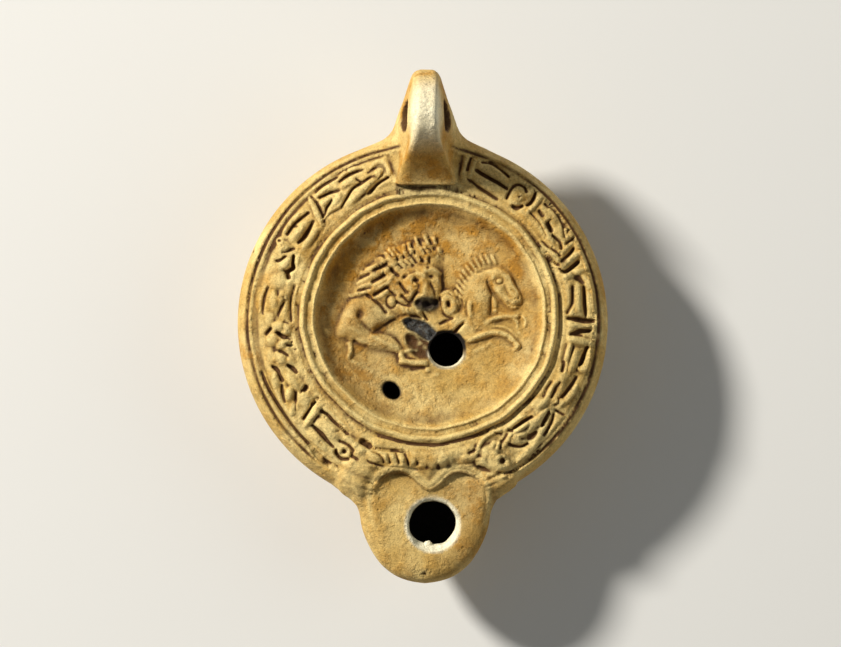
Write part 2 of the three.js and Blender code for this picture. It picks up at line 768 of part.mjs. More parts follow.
// The channel from the reservoir to the wick hole, a flattened round passage with a round end
function nozzleChannel() {
  const end = nozzleLength - nozzleWall;
  const start = nozzleInner;
  const profile = [[0, start], [channelHalfHeight, start]];
  for (let step = 0; step < channelSteps; step += 1) {
    const turn = (step / channelSteps) * Math.PI / 2;
    profile.push([
      channelHalfHeight * Math.cos(turn),
      end - channelHalfWidth + channelHalfWidth * Math.sin(turn),
    ]);
  }
  profile.push([0, end]);
  const points = profile.map(([radius, along]) => new THREE.Vector2(radius, along));
  const geometry = new THREE.LatheGeometry(points, holeFacets);
  geometry.rotateX(Math.PI);
  geometry.scale(channelHalfWidth / channelHalfHeight, 1, 1);
  geometry.translate(nozzleShiftX, 0, nozzleTopHeight - wall - channelHalfHeight);
  return toSolid(geometry);
}

function fillHole() {
  const x = discusShiftX + fillHoleAcross;
  const y = discusShiftY + fillHoleAlong;
  const mouth = surfaceHeight(x, y);
  return roundHole(x, y, fillHoleRadius, holeBevel, mouth, mouth - wall * 2);
}

function wickHole() {
  const x = nozzleShiftX + wickHoleAcross;
  const y = wickHoleFromTip - nozzleLength;
  const bottom = nozzleTopHeight - wall - channelHalfHeight;
  return roundHole(x, y, wickHoleRadius, wickHoleBevel, nozzleTopHeight, bottom);
}

// The air hole is cut aslant, so its mouth is an ellipse
function airHole() {
  const x = discusShiftX + airHoleAcross;
  const y = discusShiftY + airHoleAlong;
  const geometry = new THREE.CylinderGeometry(airHoleWidth / 2, airHoleWidth / 2, wall * 4, airHoleFacets);
  geometry.rotateX(Math.PI / 2);
  geometry.scale(airHoleLength / airHoleWidth, 1, 1);
  geometry.rotateZ(-airHoleTilt);
  geometry.translate(x, y, surfaceHeight(x, y));
  return toSolid(geometry);
}

// The broken hollow runs from the filling hole's far side towards the lion's chest
function gouge() {
  const endX = discusShiftX + fillHoleAcross - fillHoleRadius / 2;
  const endY = discusShiftY + fillHoleAlong + fillHoleRadius;
  const startX = endX - gougeLength * Math.cos(gougeTurn);
  const startY = endY + gougeLength * Math.sin(gougeTurn);
  const startHalf = gougeHalfWidth * gougeStartShare;
  const outline = limbOutline([startX, startY], [endX, endY], startHalf, gougeHalfWidth);
  const ringAt = (lift) => outline.map(([x, y]) => [x, y, surfaceHeight(x, y) + lift]);
  return ringSolid([ringAt(-gougeDepth), ringAt(cutPast)]);
}

function oilLamp() {
  const body = turnedSolid([...undersideProfile, ...topProfile], bodyFacets, true);
  const blank = unionOf([body, nozzleBlank(), handleBlank()]);
  const raised = unionOf([
    blank.subtract(heartCut()),
    heartRim(),
    ...figureSolids(lionLimbs),
    ...figureSolids(horseLimbs),
    ...maneLocks(),
    ...friezePieces.map(friezePiece),
    ...friezeRow(firstRib, ribStep, sleeveRibs),
    ...friezeRow(firstDot, dotStep, sleeveDots),
  ]);
  const cuts = unionOf([
    reservoirHollow(),
    nozzleChannel(),
    fillHole(),
    wickHole(),
    airHole(),
    handleBore(),
    gouge(),
  ]);
  return raised.subtract(cuts);
}

function meshFrom(name, solid, material) {
  const { vertProperties, triVerts } = solid.getMesh();
  const geometry = new THREE.BufferGeometry();
  geometry.setAttribute('position', new THREE.BufferAttribute(new Float32Array(vertProperties), 3));
  geometry.setIndex(new THREE.BufferAttribute(new Uint32Array(triVerts), 1));
  const mesh = new THREE.Mesh(geometry, material);
  mesh.name = name;
  return mesh;
}

const firedClay = new THREE.MeshStandardMaterial({ color: 0xc79f6a, roughness: 0.85, metalness: 0 });

const lamp = new THREE.Group();
lamp.add(meshFrom('oil_lamp', oilLamp(), firedClay));

export default lamp;
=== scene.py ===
"""A Roman oil lamp of fired clay, seen from above on a plain pale floor.

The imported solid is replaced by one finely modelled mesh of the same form. The mesh is cut from
a distance field of the lamp, and its relief comes from a height map that is drawn here by
strokes. Lengths inside the shape code are millimetres, and the mesh is in metres.
"""
import math

import bmesh
import bpy
import numpy as np
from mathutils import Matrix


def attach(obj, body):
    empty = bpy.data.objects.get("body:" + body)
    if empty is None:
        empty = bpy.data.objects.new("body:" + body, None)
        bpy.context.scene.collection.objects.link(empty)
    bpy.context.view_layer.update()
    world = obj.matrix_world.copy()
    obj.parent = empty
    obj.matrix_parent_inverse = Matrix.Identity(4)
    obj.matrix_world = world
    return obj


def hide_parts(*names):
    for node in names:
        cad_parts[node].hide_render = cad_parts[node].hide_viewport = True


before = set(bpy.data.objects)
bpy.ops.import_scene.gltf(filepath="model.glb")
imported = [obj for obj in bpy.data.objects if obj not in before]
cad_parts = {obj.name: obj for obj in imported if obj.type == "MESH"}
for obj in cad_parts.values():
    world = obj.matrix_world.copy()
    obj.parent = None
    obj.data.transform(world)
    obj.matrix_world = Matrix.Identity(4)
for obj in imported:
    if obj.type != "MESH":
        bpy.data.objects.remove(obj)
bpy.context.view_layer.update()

# Sculpture: sizes in millimetres, as in the solid

BODY_RADIUS = 41.0
WAIST_HEIGHT = 19.5
FOOT_RADIUS = 19.0
FOOT_GROOVE = (16.4, 17.6, 0.6)
WALL = 2.9
FLOOR_THICKNESS = 3.4
DISCUS_RADIUS = 25.5
DISCUS_DEPTH = 4.3
DISCUS_SHIFT = (1.5, 1.0)
DISCUS_OVAL = 0.025
BAND_OUTER_HEIGHT = 25.2
BAND_INNER_HEIGHT = 26.9
DISCUS_EDGE_HEIGHT = 27.5
DISCUS_FLOOR = DISCUS_EDGE_HEIGHT - DISCUS_DEPTH
EDGE_RIDGE_RADIUS = 39.2
EDGE_GROOVE_RADIUS = BODY_RADIUS - 2.4
BAND_RIDGE_RADIUS = BODY_RADIUS - 3.2
BAND_OUTER_RADIUS = BODY_RADIUS - 3.9
BAND_INNER_RADIUS = 30.2
RING_GROOVE_RADIUS = 29.0
RING_GROOVE_DEPTH = 1.3
RING_RIDGE_RADIUS = 27.7
DISCUS_GROOVE_RADIUS = DISCUS_RADIUS + 0.8
DISCUS_GROOVE_DEPTH = 0.9
RING_RISE = 0.5
# Shares of the discus's radius and depth, from its edge to its middle
DISCUS_DISH = [(1, 0), (0.965, 0.24), (0.91, 0.56), (0.83, 0.78), (0.66, 0.92)]

NOZZLE_LENGTH = 57.6
NOZZLE_HALF_WIDTH = 14.2
NOZZLE_SHIFT = 0.5
NOZZLE_TOP = 24.7
NOZZLE_EDGE_ROUND = 3.0
HEART_SHIFT = 1.4
HEART_LENGTH = 21.3
HEART_CLEFT = 3.9
HEART_DISH = 0.35
HEART_TIP = -(NOZZLE_LENGTH - 3.4)
HEART_HALF = 12.2
RIM_OUT = 0.9
RIM_HALF_WIDTH = 0.8
RIM_RISE = 0.42

HANDLE_REACH = 54.7
HANDLE_RISE = 18.3
HANDLE_SHIFT = 1.0
HANDLE_HALF = 2.5
HANDLE_FLANK = 6.0
HANDLE_ROOT = 29.7

BORE_RADIUS = 3.1
BORE_Y = 44.4
BORE_HEIGHT = 33.0
FILL_HOLE = (5.2, -6.1, 3.7)
WICK_HOLE = (2.2, -44.7, 5.15)
WICK_LUMP = (1.2, -48.9, 22.2, 0.9)
AIR_HOLE = (-6.9, -15.2)
AIR_HOLE_HALVES = (2.1, 1.6)
AIR_HOLE_TILT = 0.8
CHANNEL_HALVES = (8.6, 5.2)
CHANNEL_END = 52.0
CHANNEL_START = -24
# The holes from above are cut down to this height
HOLE_BOTTOM = 15

# The drawing of the relief is laid out in the photograph's pixels
PIXELS_PER_MM = 4.52
BODY_PIXEL = (422.7, 322.6)
FRIEZE_PIXEL = (427.5, 320.5)
MAP_STEP = 0.1
MAP_LOW = (-43.0, -60.0)
MAP_CELLS = (860, 1180)


def blur(grid, sigma):
    """Gaussian blur of a map by a sigma in millimetres."""
    reach = int(3 * sigma / MAP_STEP) + 1
    padded = np.pad(grid, reach, mode="edge")
    across = np.fft.fftfreq(padded.shape[0], MAP_STEP)[:, None]
    along = np.fft.rfftfreq(padded.shape[1], MAP_STEP)[None]
    fall = np.exp(-2 * (math.pi * sigma) ** 2 * (across**2 + along**2))
    smooth = np.fft.irfft2(np.fft.rfft2(padded) * fall, s=padded.shape)
    return smooth[reach:-reach, reach:-reach]


def noise_map(sigma, seed_shift=0):
    """Smooth random heights with unit spread."""
    local = np.random.default_rng(500 + seed_shift)
    grid = blur(local.standard_normal(MAP_CELLS), sigma)
    return grid / grid.std()


def to_mm(points):
    """Photograph pixels to the lamp's plan in millimetres."""
    points = np.asarray(points, float)
    x = (points[..., 0] - BODY_PIXEL[0]) / PIXELS_PER_MM
    y = (BODY_PIXEL[1] - points[..., 1]) / PIXELS_PER_MM
    return np.stack([x, y], -1)


def around(azimuth, radius):
    """A pixel from an azimuth, in degrees clockwise from the handle, and a radius in pixels."""
    turn = np.radians(azimuth)
    return (FRIEZE_PIXEL[0] + radius * np.sin(turn), FRIEZE_PIXEL[1] - radius * np.cos(turn))


def smooth_curve(points, closed=False, steps=6):
    """Catmull-Rom curve through points."""
    points = np.asarray(points, float)
    count = len(points)
    if count < 3:
        return points
    spans = count if closed else count - 1
    result = []
    for k in range(spans):
        if closed:
            a, b, c, d = (points[(k + j) % count] for j in (-1, 0, 1, 2))
        else:
            a, b, c, d = (points[min(max(k + j, 0), count - 1)] for j in (-1, 0, 1, 2))
        for t in np.arange(steps) / steps:
            result.append(0.5 * (2 * b + (c - a) * t + (2 * a - 5 * b + 4 * c - d) * t**2
                                 + (3 * b - a - 3 * c + d) * t**3))
    if not closed:
        result.append(points[-1])
    return np.array(result)


# Softness, in millimetres, where one form is laid over another
OVER_BLEND = 0.12


class ReliefMap:
    """Heights over the lamp's upper face, drawn by strokes given in photograph pixels."""

    def __init__(self):
        self.height = np.zeros(MAP_CELLS)
        self.x = MAP_LOW[0] + MAP_STEP * np.arange(MAP_CELLS[0])
        self.y = MAP_LOW[1] + MAP_STEP * np.arange(MAP_CELLS[1])

    def window(self, points, margin):
        """The part of the map round some points, as slices and coordinates."""
        low = points.min(0) - margin
        high = points.max(0) + margin
        i0, i1 = np.searchsorted(self.x, [low[0], high[0]])
        j0, j1 = np.searchsorted(self.y, [low[1], high[1]])
        gx, gy = np.meshgrid(self.x[i0:i1], self.y[j0:j1], indexing="ij")
        return (slice(i0, i1), slice(j0, j1)), gx, gy

    def put(self, where, rise, mode):
        """Adds a rise, or with the mode over lays it smoothly over what is there."""
        patch = self.height[where]
        if mode == "add":
            patch += rise
        elif mode == "over":
            patch[:] = 0.5 * (patch + rise + np.sqrt((patch - rise) ** 2 + OVER_BLEND**2) - OVER_BLEND)

    def stroke(self, points, half, rise, mode="add", power=1.0, curved=True):
        """A rounded ridge, or a groove where rise is negative, along a pixel path."""
        path = to_mm(points)
        halves = np.broadcast_to(np.asarray(half, float), (len(path),)) / PIXELS_PER_MM
        if curved and len(path) > 2:
            places = np.linspace(0, 1, len(path))
            path = smooth_curve(path)
            halves = np.interp(np.linspace(0, 1, len(path)), places, halves)
        where, gx, gy = self.window(path, halves.max() + MAP_STEP)
        best = np.full(gx.shape, np.inf)
        for (ax, ay), (bx, by), ha, hb in zip(path[:-1], path[1:], halves[:-1], halves[1:]):
            dx, dy = bx - ax, by - ay
            length = dx * dx + dy * dy + 1e-12
            t = np.clip(((gx - ax) * dx + (gy - ay) * dy) / length, 0, 1)
            away = np.hypot(gx - ax - t * dx, gy - ay - t * dy)
            best = np.minimum(best, away / (ha + t * (hb - ha)))
        self.put(where, rise * np.clip(1 - best**2, 0, 1) ** power, mode)

    def blob(self, centre, halves, rise, turn=0.0, mode="add", power=1.0):
        """A domed oval, turned by degrees anticlockwise in the picture."""
        cx, cy = to_mm(centre)
        hx, hy = (h / PIXELS_PER_MM for h in halves)
        reach = max(hx, hy) + MAP_STEP
        where, gx, gy = self.window(np.array([[cx, cy]]), reach)
        c, s = math.cos(math.radians(turn)), math.sin(math.radians(turn))
        u = ((gx - cx) * c + (gy - cy) * s) / hx
        v = ((gy - cy) * c - (gx - cx) * s) / hy
        self.put(where, rise * np.clip(1 - u * u - v * v, 0, 1) ** power, mode)

    def ring(self, centre, radius, half, rise, squash=1.0, turn=0.0):
        """A raised ring or, with a negative rise, a ring groove."""
        angles = np.radians(np.arange(0, 361, 20))
        c, s = math.cos(math.radians(turn)), math.sin(math.radians(turn))
        across, along = radius * np.cos(angles), radius * squash * np.sin(angles)
        points = [(centre[0] + a * c - b * s, centre[1] - a * s - b * c)
                  for a, b in zip(across, along)]
        self.stroke(points, half, rise, curved=False)

    def pillow(self, outline, rise, edge, mode="add", curved=True, flat=1.0):
        """A raised area inside an outline, which swells over a width from its edge."""
        loop = to_mm(outline)
        if curved:
            loop = smooth_curve(loop, closed=True)
        where, gx, gy = self.window(loop, MAP_STEP)
        depth = -outline_distance(loop, gx, gy)
        share = np.clip(depth / (edge / PIXELS_PER_MM), 0, 1)
        self.put(where, rise * (1 - (1 - share) ** 2) ** flat, mode)


def outline_distance(loop, gx, gy):
    """Signed distance to a closed outline, negative inside."""
    best = np.full(np.shape(gx), np.inf)
    inside = np.zeros(np.shape(gx), bool)
    for (ax, ay), (bx, by) in zip(loop, np.roll(loop, -1, 0)):
        dx, dy = bx - ax, by - ay
        t = np.clip(((gx - ax) * dx + (gy - ay) * dy) / (dx * dx + dy * dy + 1e-12), 0, 1)
        best = np.minimum(best, np.hypot(gx - ax - t * dx, gy - ay - t * dy))
        crosses = (ay > gy) != (by > gy)
        with np.errstate(divide="ignore", invalid="ignore"):
            inside ^= crosses & (gx < dx * (gy - ay) / dy + ax)
    return np.where(inside, -best, best)


# Lion

LION_BODY = [(352, 299), (362, 296), (374, 298), (384, 305), (394, 314), (400, 319), (388, 325),
             (378, 331), (371, 341), (360, 343), (348, 341), (338, 338), (336, 329), (340, 318),
             (345, 307)]
LION_MANE = [(351, 297), (357, 284), (364, 272), (374, 260), (386, 251), (400, 245), (416, 242),
             (429, 243), (438, 252), (441, 264), (443, 280), (442, 296), (437, 310), (424, 318),
             (404, 318), (390, 315), (377, 306), (364, 299)]
LION_FACE = [(405, 276), (412, 269), (424, 266), (436, 268), (441, 278), (441, 292), (437, 301),
             (421, 302), (410, 299), (404, 288)]
LION_MOUTH = (427, 305.5)
MANE_RIDGES = [
    [(350, 297), (360, 295), (371, 290)], [(357, 285), (368, 279), (379, 273)],
    [(366, 270), (378, 267), (389, 260)], [(360, 275), (372, 270), (384, 263)],
    [(361, 288), (374, 285), (388, 279)], [(371, 300), (381, 297), (391, 290)],
    [(376, 276), (386, 272), (393, 266)], [(380, 289), (388, 284), (394, 276)],
]
MANE_SLOTS = [
    ([(360, 267), (367, 265), (373, 262)], 1.9), ([(375, 271), (381, 268.5), (386, 266)], 2.4),
    ([(361, 279.5), (369, 276)], 1.3), ([(373, 284), (379, 280.5), (384, 277)], 2.6),
    ([(359, 292), (366, 290.5), (371, 289)], 1.9), ([(375, 296), (381, 292.5), (386, 289)], 2.2),
    ([(376, 257.5), (384, 257)], 1.3), ([(391, 270), (395, 275), (398, 277)], 2.3),
    ([(368, 297), (375, 302), (381, 307), (386, 314)], 1.8),
    ([(400, 285), (403, 289), (406, 293)], 1.7), ([(402, 297), (405, 300), (409, 304)], 1.7),
    ([(411, 304), (414, 298), (417, 294)], 2.2), ([(397, 303), (403, 306), (411, 307)], 1.3),
    ([(404, 279), (409, 276), (415, 273.5)], 1.4), ([(388, 290), (392, 294), (396, 297)], 1.1),
]
# Rows of short locks over the brow: start, bend, end, number of locks, half length
MANE_ROWS = [
    ((383, 261), (397, 246), (434, 241), 9, 3.2), ((392, 262), (404, 253), (438, 251), 8, 2.8),
    ((398, 268), (410, 260), (436, 260), 7, 2.4),
]
LION_PITS = [
    ((434, 250), 2.0), ((404, 259), 1.6), ((411, 257), 1.6), ((423, 262), 1.8), ((413, 267), 1.5),
    ((428, 269), 1.6), ((389, 289), 1.5), ((408, 294), 1.7), ((396, 262), 1.4), ((430, 259), 1.5),
]


def draw_lion(relief):
    relief.pillow(LION_BODY, 1.25, 10)
    relief.pillow(LION_MANE, 1.2, 17)
    relief.pillow(LION_FACE, 0.45, 6)
    # Haunch, flank hollow and the line of the belly
    relief.blob((352, 325), (13, 17), 0.35, 10)
    relief.blob((372, 316), (13, 11), 0.3, 30)
    relief.blob((361, 315), (5.5, 6), -0.6, 60)
    relief.stroke([(359, 318), (364, 326), (370, 331)], 3.2, -0.4)
    relief.stroke([(345, 324), (356, 332), (366, 338)], 2, 0.15)
    relief.stroke([(380, 330), (387, 325), (395, 320), (404, 317.5), (415, 317.5), (421, 320)],
                  [1.6, 2.1, 2.3, 2.5, 2.6, 2], -0.75)
    # Near hind leg and foot
    relief.pillow([(352, 330), (366, 332), (384, 334), (396, 340), (402, 349), (400, 355), (386, 352),
                   (370, 350), (356, 346), (346, 340)], 1.15, 7, "over")
    relief.stroke([(372, 337), (386, 344), (398, 349)], 3, 0.3)
    relief.stroke([(390, 334), (398, 341), (405, 348)], 2.2, -0.35)
    relief.stroke([(398, 350), (401, 356), (403, 361)], [4.2, 3.8, 3.8], 1.0, "over")
    relief.stroke([(402, 362), (412, 363.5), (425, 364)], [3.8, 3.4, 3.6], 1.05, "over")
    relief.stroke([(402, 353), (410, 351.5), (416, 352)], [3, 2.2, 1.5], 0.55, "over")
    relief.stroke([(370, 352.5), (382, 354), (394, 358)], [2.6, 3.2, 2.2], -0.45)
    relief.stroke([(396, 359), (399, 353)], 1.6, -0.5)
    relief.stroke([(401, 367), (412, 369.5), (424, 369)], [2, 2.2, 2], -0.35)
    relief.blob((428, 371), (3.4, 2.4), 0.6, -35)
    relief.blob((437, 376), (4, 2.2), 0.55, -20)
    relief.stroke([(427, 375), (431, 372)], 1.4, -0.3)
    # Far hind leg, foot and tail
    relief.stroke([(350, 345), (351, 352), (349, 359)], [3.6, 2.8, 2.4], 0.8, "over")
    relief.stroke([(355, 342), (361, 347), (367, 347)], [2.4, 3.4, 2], -0.6)
    relief.stroke([(340, 354), (345, 351), (348, 347)], 1.4, -0.35)
    relief.stroke([(352, 362), (362, 367), (371, 374)], [2.6, 2.8, 2.4], 0.55, "over")
    relief.stroke([(360, 368.5), (366, 371), (371, 376)], 1.7, -0.5)
    relief.blob((347, 364), (3, 2.4), -0.35)
    relief.stroke([(346, 367), (353, 373), (358, 378)], 1.3, 0.25)
    relief.blob((356, 357), (3, 2.4), -0.3)
    relief.blob((328, 333), (6, 3.6), 0.4, -50)
    relief.stroke([(324, 336), (330, 340)], 1.6, -0.25)
    # Mane
    for ridge in MANE_RIDGES:
        relief.stroke(ridge, [1.6, 2.6, 1.8], 0.42)
    local = np.random.default_rng(12)
    for start, bend, end, count, size in MANE_ROWS:
        for k in range(count):
            t = (k + local.uniform(-0.28, 0.28)) / (count - 1)
            cx, cy = (start[a] * (1 - t) ** 2 + 2 * bend[a] * t * (1 - t) + end[a] * t * t
                      for a in (0, 1))
            lean, reach = local.uniform(-0.6, 2.4), size * local.uniform(0.65, 1.1)
            cy += local.uniform(-1.4, 1.4)
            relief.stroke([(cx - lean, cy - reach), (cx + lean, cy + reach)], local.uniform(1.7, 2.6),
                          local.uniform(0.35, 0.7))
            relief.stroke([(cx + 3 - lean, cy - reach * 0.7), (cx + 3 + lean, cy + reach)],
                          local.uniform(0.8, 1.6), -local.uniform(0.2, 0.75))
    for slot, half in MANE_SLOTS:
        relief.stroke(slot, half, -0.85)
    for centre, radius in LION_PITS:
        relief.blob(centre, (radius, radius), -0.6)
    relief.ring((391.5, 303), 5, 1.1, -0.45, 1.25, 8)
    relief.blob((392, 303), (3, 5), 0.35, 8)
    # Face
    relief.stroke([(408, 277), (415, 274), (422, 277)], 2.1, 0.5)
    relief.stroke([(427, 273), (434, 271), (440, 275)], 1.9, 0.45)
    relief.blob((416, 282), (3.6, 2.9), -0.95)
    relief.blob((431.5, 278.5), (3.3, 2.4), -0.6)
    relief.ring((416, 282), 4.6, 1.1, 0.2, 0.8)
    relief.stroke([(424, 271), (424, 282), (425, 293)], [2.4, 2.8, 4], 0.55)
    relief.blob((423, 297), (4.5, 2.6), 0.3)
    relief.blob((410, 289), (3, 4), 0.3)
    relief.stroke([(430, 284), (433, 290), (435, 297)], 1.7, -0.5)
    relief.stroke([(419, 285), (418, 291)], 1.4, -0.3)
    relief.blob((418, 304), (4, 3.2), -1.2, 20)
    relief.blob((427, 306), (6.5, 4.2), -1.5, -8)
    relief.blob((435, 303.5), (3.6, 4.4), -1.2, 10)
    relief.blob((430, 303.5), (2.6, 1.7), 0.5, 15)
    relief.blob((421.5, 308.5), (2.2, 1.8), 0.4)
    relief.stroke([(438, 281), (440.5, 290), (440, 298)], 1.8, 0.25)
    # Beard
    for cx, cy in [(403, 311), (407.5, 313), (412, 312), (417, 312), (421, 314)]:
        relief.stroke([(cx - 0.8, cy - 2.2), (cx + 1, cy + 2)], 1.9, 0.4)
    relief.stroke([(422, 314), (425, 318), (427, 321)], 1.9, -0.6)
    relief.blob((432, 317), (3.4, 2.6), 0.5, -40)
    relief.stroke([(426, 311), (430, 314), (433, 319)], 1.2, -0.35)


# Horse

HORSE_NECK = [(458, 292), (465, 281), (474, 270), (490, 266), (497, 276), (494, 290), (493, 305),
              (490, 318), (484, 325), (473, 325), (465, 312), (460, 302)]
HORSE_HEAD = [(483, 271.5), (494, 267.5), (504, 269.5), (511, 276), (515, 285), (520, 293),
              (522.5, 301), (520, 308), (514, 311.5), (507, 309), (501, 303), (495, 297.5),
              (490.5, 290), (487, 281)]
HORSE_MANE = [(457, 297), (460, 287), (463, 278), (469, 270), (475, 264.5), (483, 261.5), (490, 260.5),
              (497, 260.5)]


def draw_horse(relief):
    relief.pillow([(446, 316), (456, 306), (470, 306), (488, 312), (497, 322), (496, 332), (482, 342),
                   (466, 349), (456, 340)], 0.65, 10)
    relief.pillow(HORSE_NECK, 1.0, 8, "over")
    relief.blob((478, 297), (10, 18), 0.3, -8)
    relief.pillow(HORSE_HEAD, 1.45, 7, "over")
    relief.stroke([(478, 274), (484, 271), (493, 269)], [1.9, 1.5, 0.9], -0.5)
    # Jaw and throat
    relief.stroke([(487, 283), (490.5, 292), (497, 299.5), (503, 306.5), (508, 311)],
                  [1.3, 1.9, 2, 1.8, 1.2], -0.65)
    relief.blob((497, 291), (5, 4.4), 0.4, -30)
    # Eye in its socket
    relief.stroke([(490, 281), (495, 276.5), (502, 276), (506, 279)], 1.5, 0.4)
    relief.ring((499, 282.5), 4, 1.2, -0.55, 0.8)
    relief.blob((499, 282.5), (2.7, 2.1), 0.55)
    relief.blob((499.4, 282), (1.2, 1.1), -0.6)
    relief.stroke([(504, 286), (506, 293), (510, 299)], [1.2, 1.7, 1.2], -0.45)
    # Nose, nostril and mouth
    relief.stroke([(508, 277), (512.5, 286), (517, 294)], 1.8, 0.35)
    relief.stroke([(511, 291), (515, 293.5)], 1.1, -0.35)
    relief.blob((517.5, 300), (1.9, 1.5), -0.7, 30)
    relief.blob((514, 303.5), (2.4, 1.8), 0.35)
    relief.stroke([(507.5, 304), (512, 306.8), (518, 306.5)], 1.3, -0.6)
    relief.stroke([(499, 314.5), (509, 315.5), (519, 315)], [1.8, 2, 1.4], 0.6, "over")
    # Mane of short locks with grooves between
    crest = smooth_curve(HORSE_MANE, steps=8)
    run = np.concatenate([[0], np.cumsum(np.hypot(*np.diff(crest, axis=0).T))])
    locks = 11
    for k in range(locks):
        place = run[-1] * (k + 0.3) / locks
        cx, cy = (np.interp(place, run, crest[:, axis]) for axis in (0, 1))
        lean = 4.4 if k < 7 else 3.2
        relief.stroke([(cx - lean * 0.5, cy - 3.2), (cx + lean * 0.7, cy + 4)], [1.5, 1.9], 0.75)
        relief.stroke([(cx + 1.0, cy - 3.6), (cx + 2.2 + lean * 0.6, cy + 3)], 0.9, -0.3)
    # Lock and bridle pieces on the neck
    relief.stroke([(494.5, 300), (494.5, 312)], 3.2, 0.55, power=0.6)
    relief.stroke([(490.6, 299), (490.2, 307), (490, 315)], 1.5, -0.5)
    relief.stroke([(492, 309.5), (497, 309.5)], 0.8, -0.3)
    relief.stroke([(469.5, 303.5), (469, 310), (470.5, 317)], 2.6, 0.6)
    relief.stroke([(466.3, 303), (465.8, 310), (467, 317)], 1.1, -0.4)
    relief.stroke([(473, 306), (473, 312), (474, 318)], 0.9, -0.2)
    # Forelegs
    relief.stroke([(484, 325), (492, 320.5), (503, 318), (517, 317.5)], [3.6, 3.4, 2.8, 2.6], 1.0,
                  "over")
    relief.stroke([(512, 319), (517, 324), (518, 333)], [3, 3.4, 3], 0.75, "over")
    relief.stroke([(521, 317), (525, 321), (524, 328)], [1.6, 2.4, 2], 0.6, "over")
    relief.stroke([(520.5, 317), (519.5, 324), (517.5, 332)], 1.1, -0.5)
    relief.stroke([(497, 323), (506, 323), (514, 326)], 2.4, -0.2)
    relief.stroke([(476, 332), (485, 329), (497, 327.5), (508, 330), (517, 338)],
                  [1.7, 1.9, 1.7, 1.6, 1.8], 0.55, "over")
    relief.stroke([(470, 341), (480, 337), (492, 333.5), (503, 335), (511, 340), (517, 347)],
                  [4.2, 4.4, 4.2, 3.8, 3.6, 3.6], 1.15, "over")
    relief.stroke([(463, 346), (474, 345), (486, 341.5), (499, 340)], [2.4, 3.2, 2.6, 1.6], -0.5)
    relief.stroke([(475, 333), (482, 330.5)], 1.4, -0.45)
    relief.stroke([(505, 343), (507, 338.5)], 1.2, -0.45)
    relief.stroke([(509, 349), (511, 345), (514, 343.5)], 1.1, -0.45)
    relief.blob((515, 350), (5, 3), 0.55, 20)
    relief.stroke([(466, 352.5), (474, 352.5), (484, 348), (491, 343)], [1.3, 2, 2.4, 1.2], 0.5, "over")
    relief.stroke([(478, 350.5), (490, 344)], 0.7, -0.2)
    # The lion's paw on the horse's shoulder
    relief.pillow([(440, 293), (449, 291), (457, 294), (463, 303), (461, 312), (454, 318), (444, 317),
                   (438, 306)], 0.85, 7, "over")
    relief.ring((448.5, 306), 6.2, 1.5, 0.5, 1.35, 12)
    relief.blob((448.5, 305.5), (2.2, 4), -1.3, 12)
    relief.stroke([(441, 296), (445, 293), (450, 292)], 1.5, 0.35)
    relief.stroke([(440, 300), (441, 306), (443, 312)], 1.1, -0.6)
    relief.stroke([(443, 314), (447, 318), (453, 319)], 1.2, -0.6)
    for shift in (0, 4.4, 8.4):
        relief.stroke([(449 + shift, 295 + shift * 0.3), (454 + shift * 0.9, 301),
                       (457.5 + shift * 0.6, 307), (458 + shift * 0.4, 313)], 0.9, -0.42)
        relief.stroke([(451 + shift, 294 + shift * 0.3), (456 + shift * 0.9, 300),
                       (459.5 + shift * 0.6, 306)], 1.1, 0.2)


# Frieze of arms and armour round the shoulder, in azimuths and radii in pixels

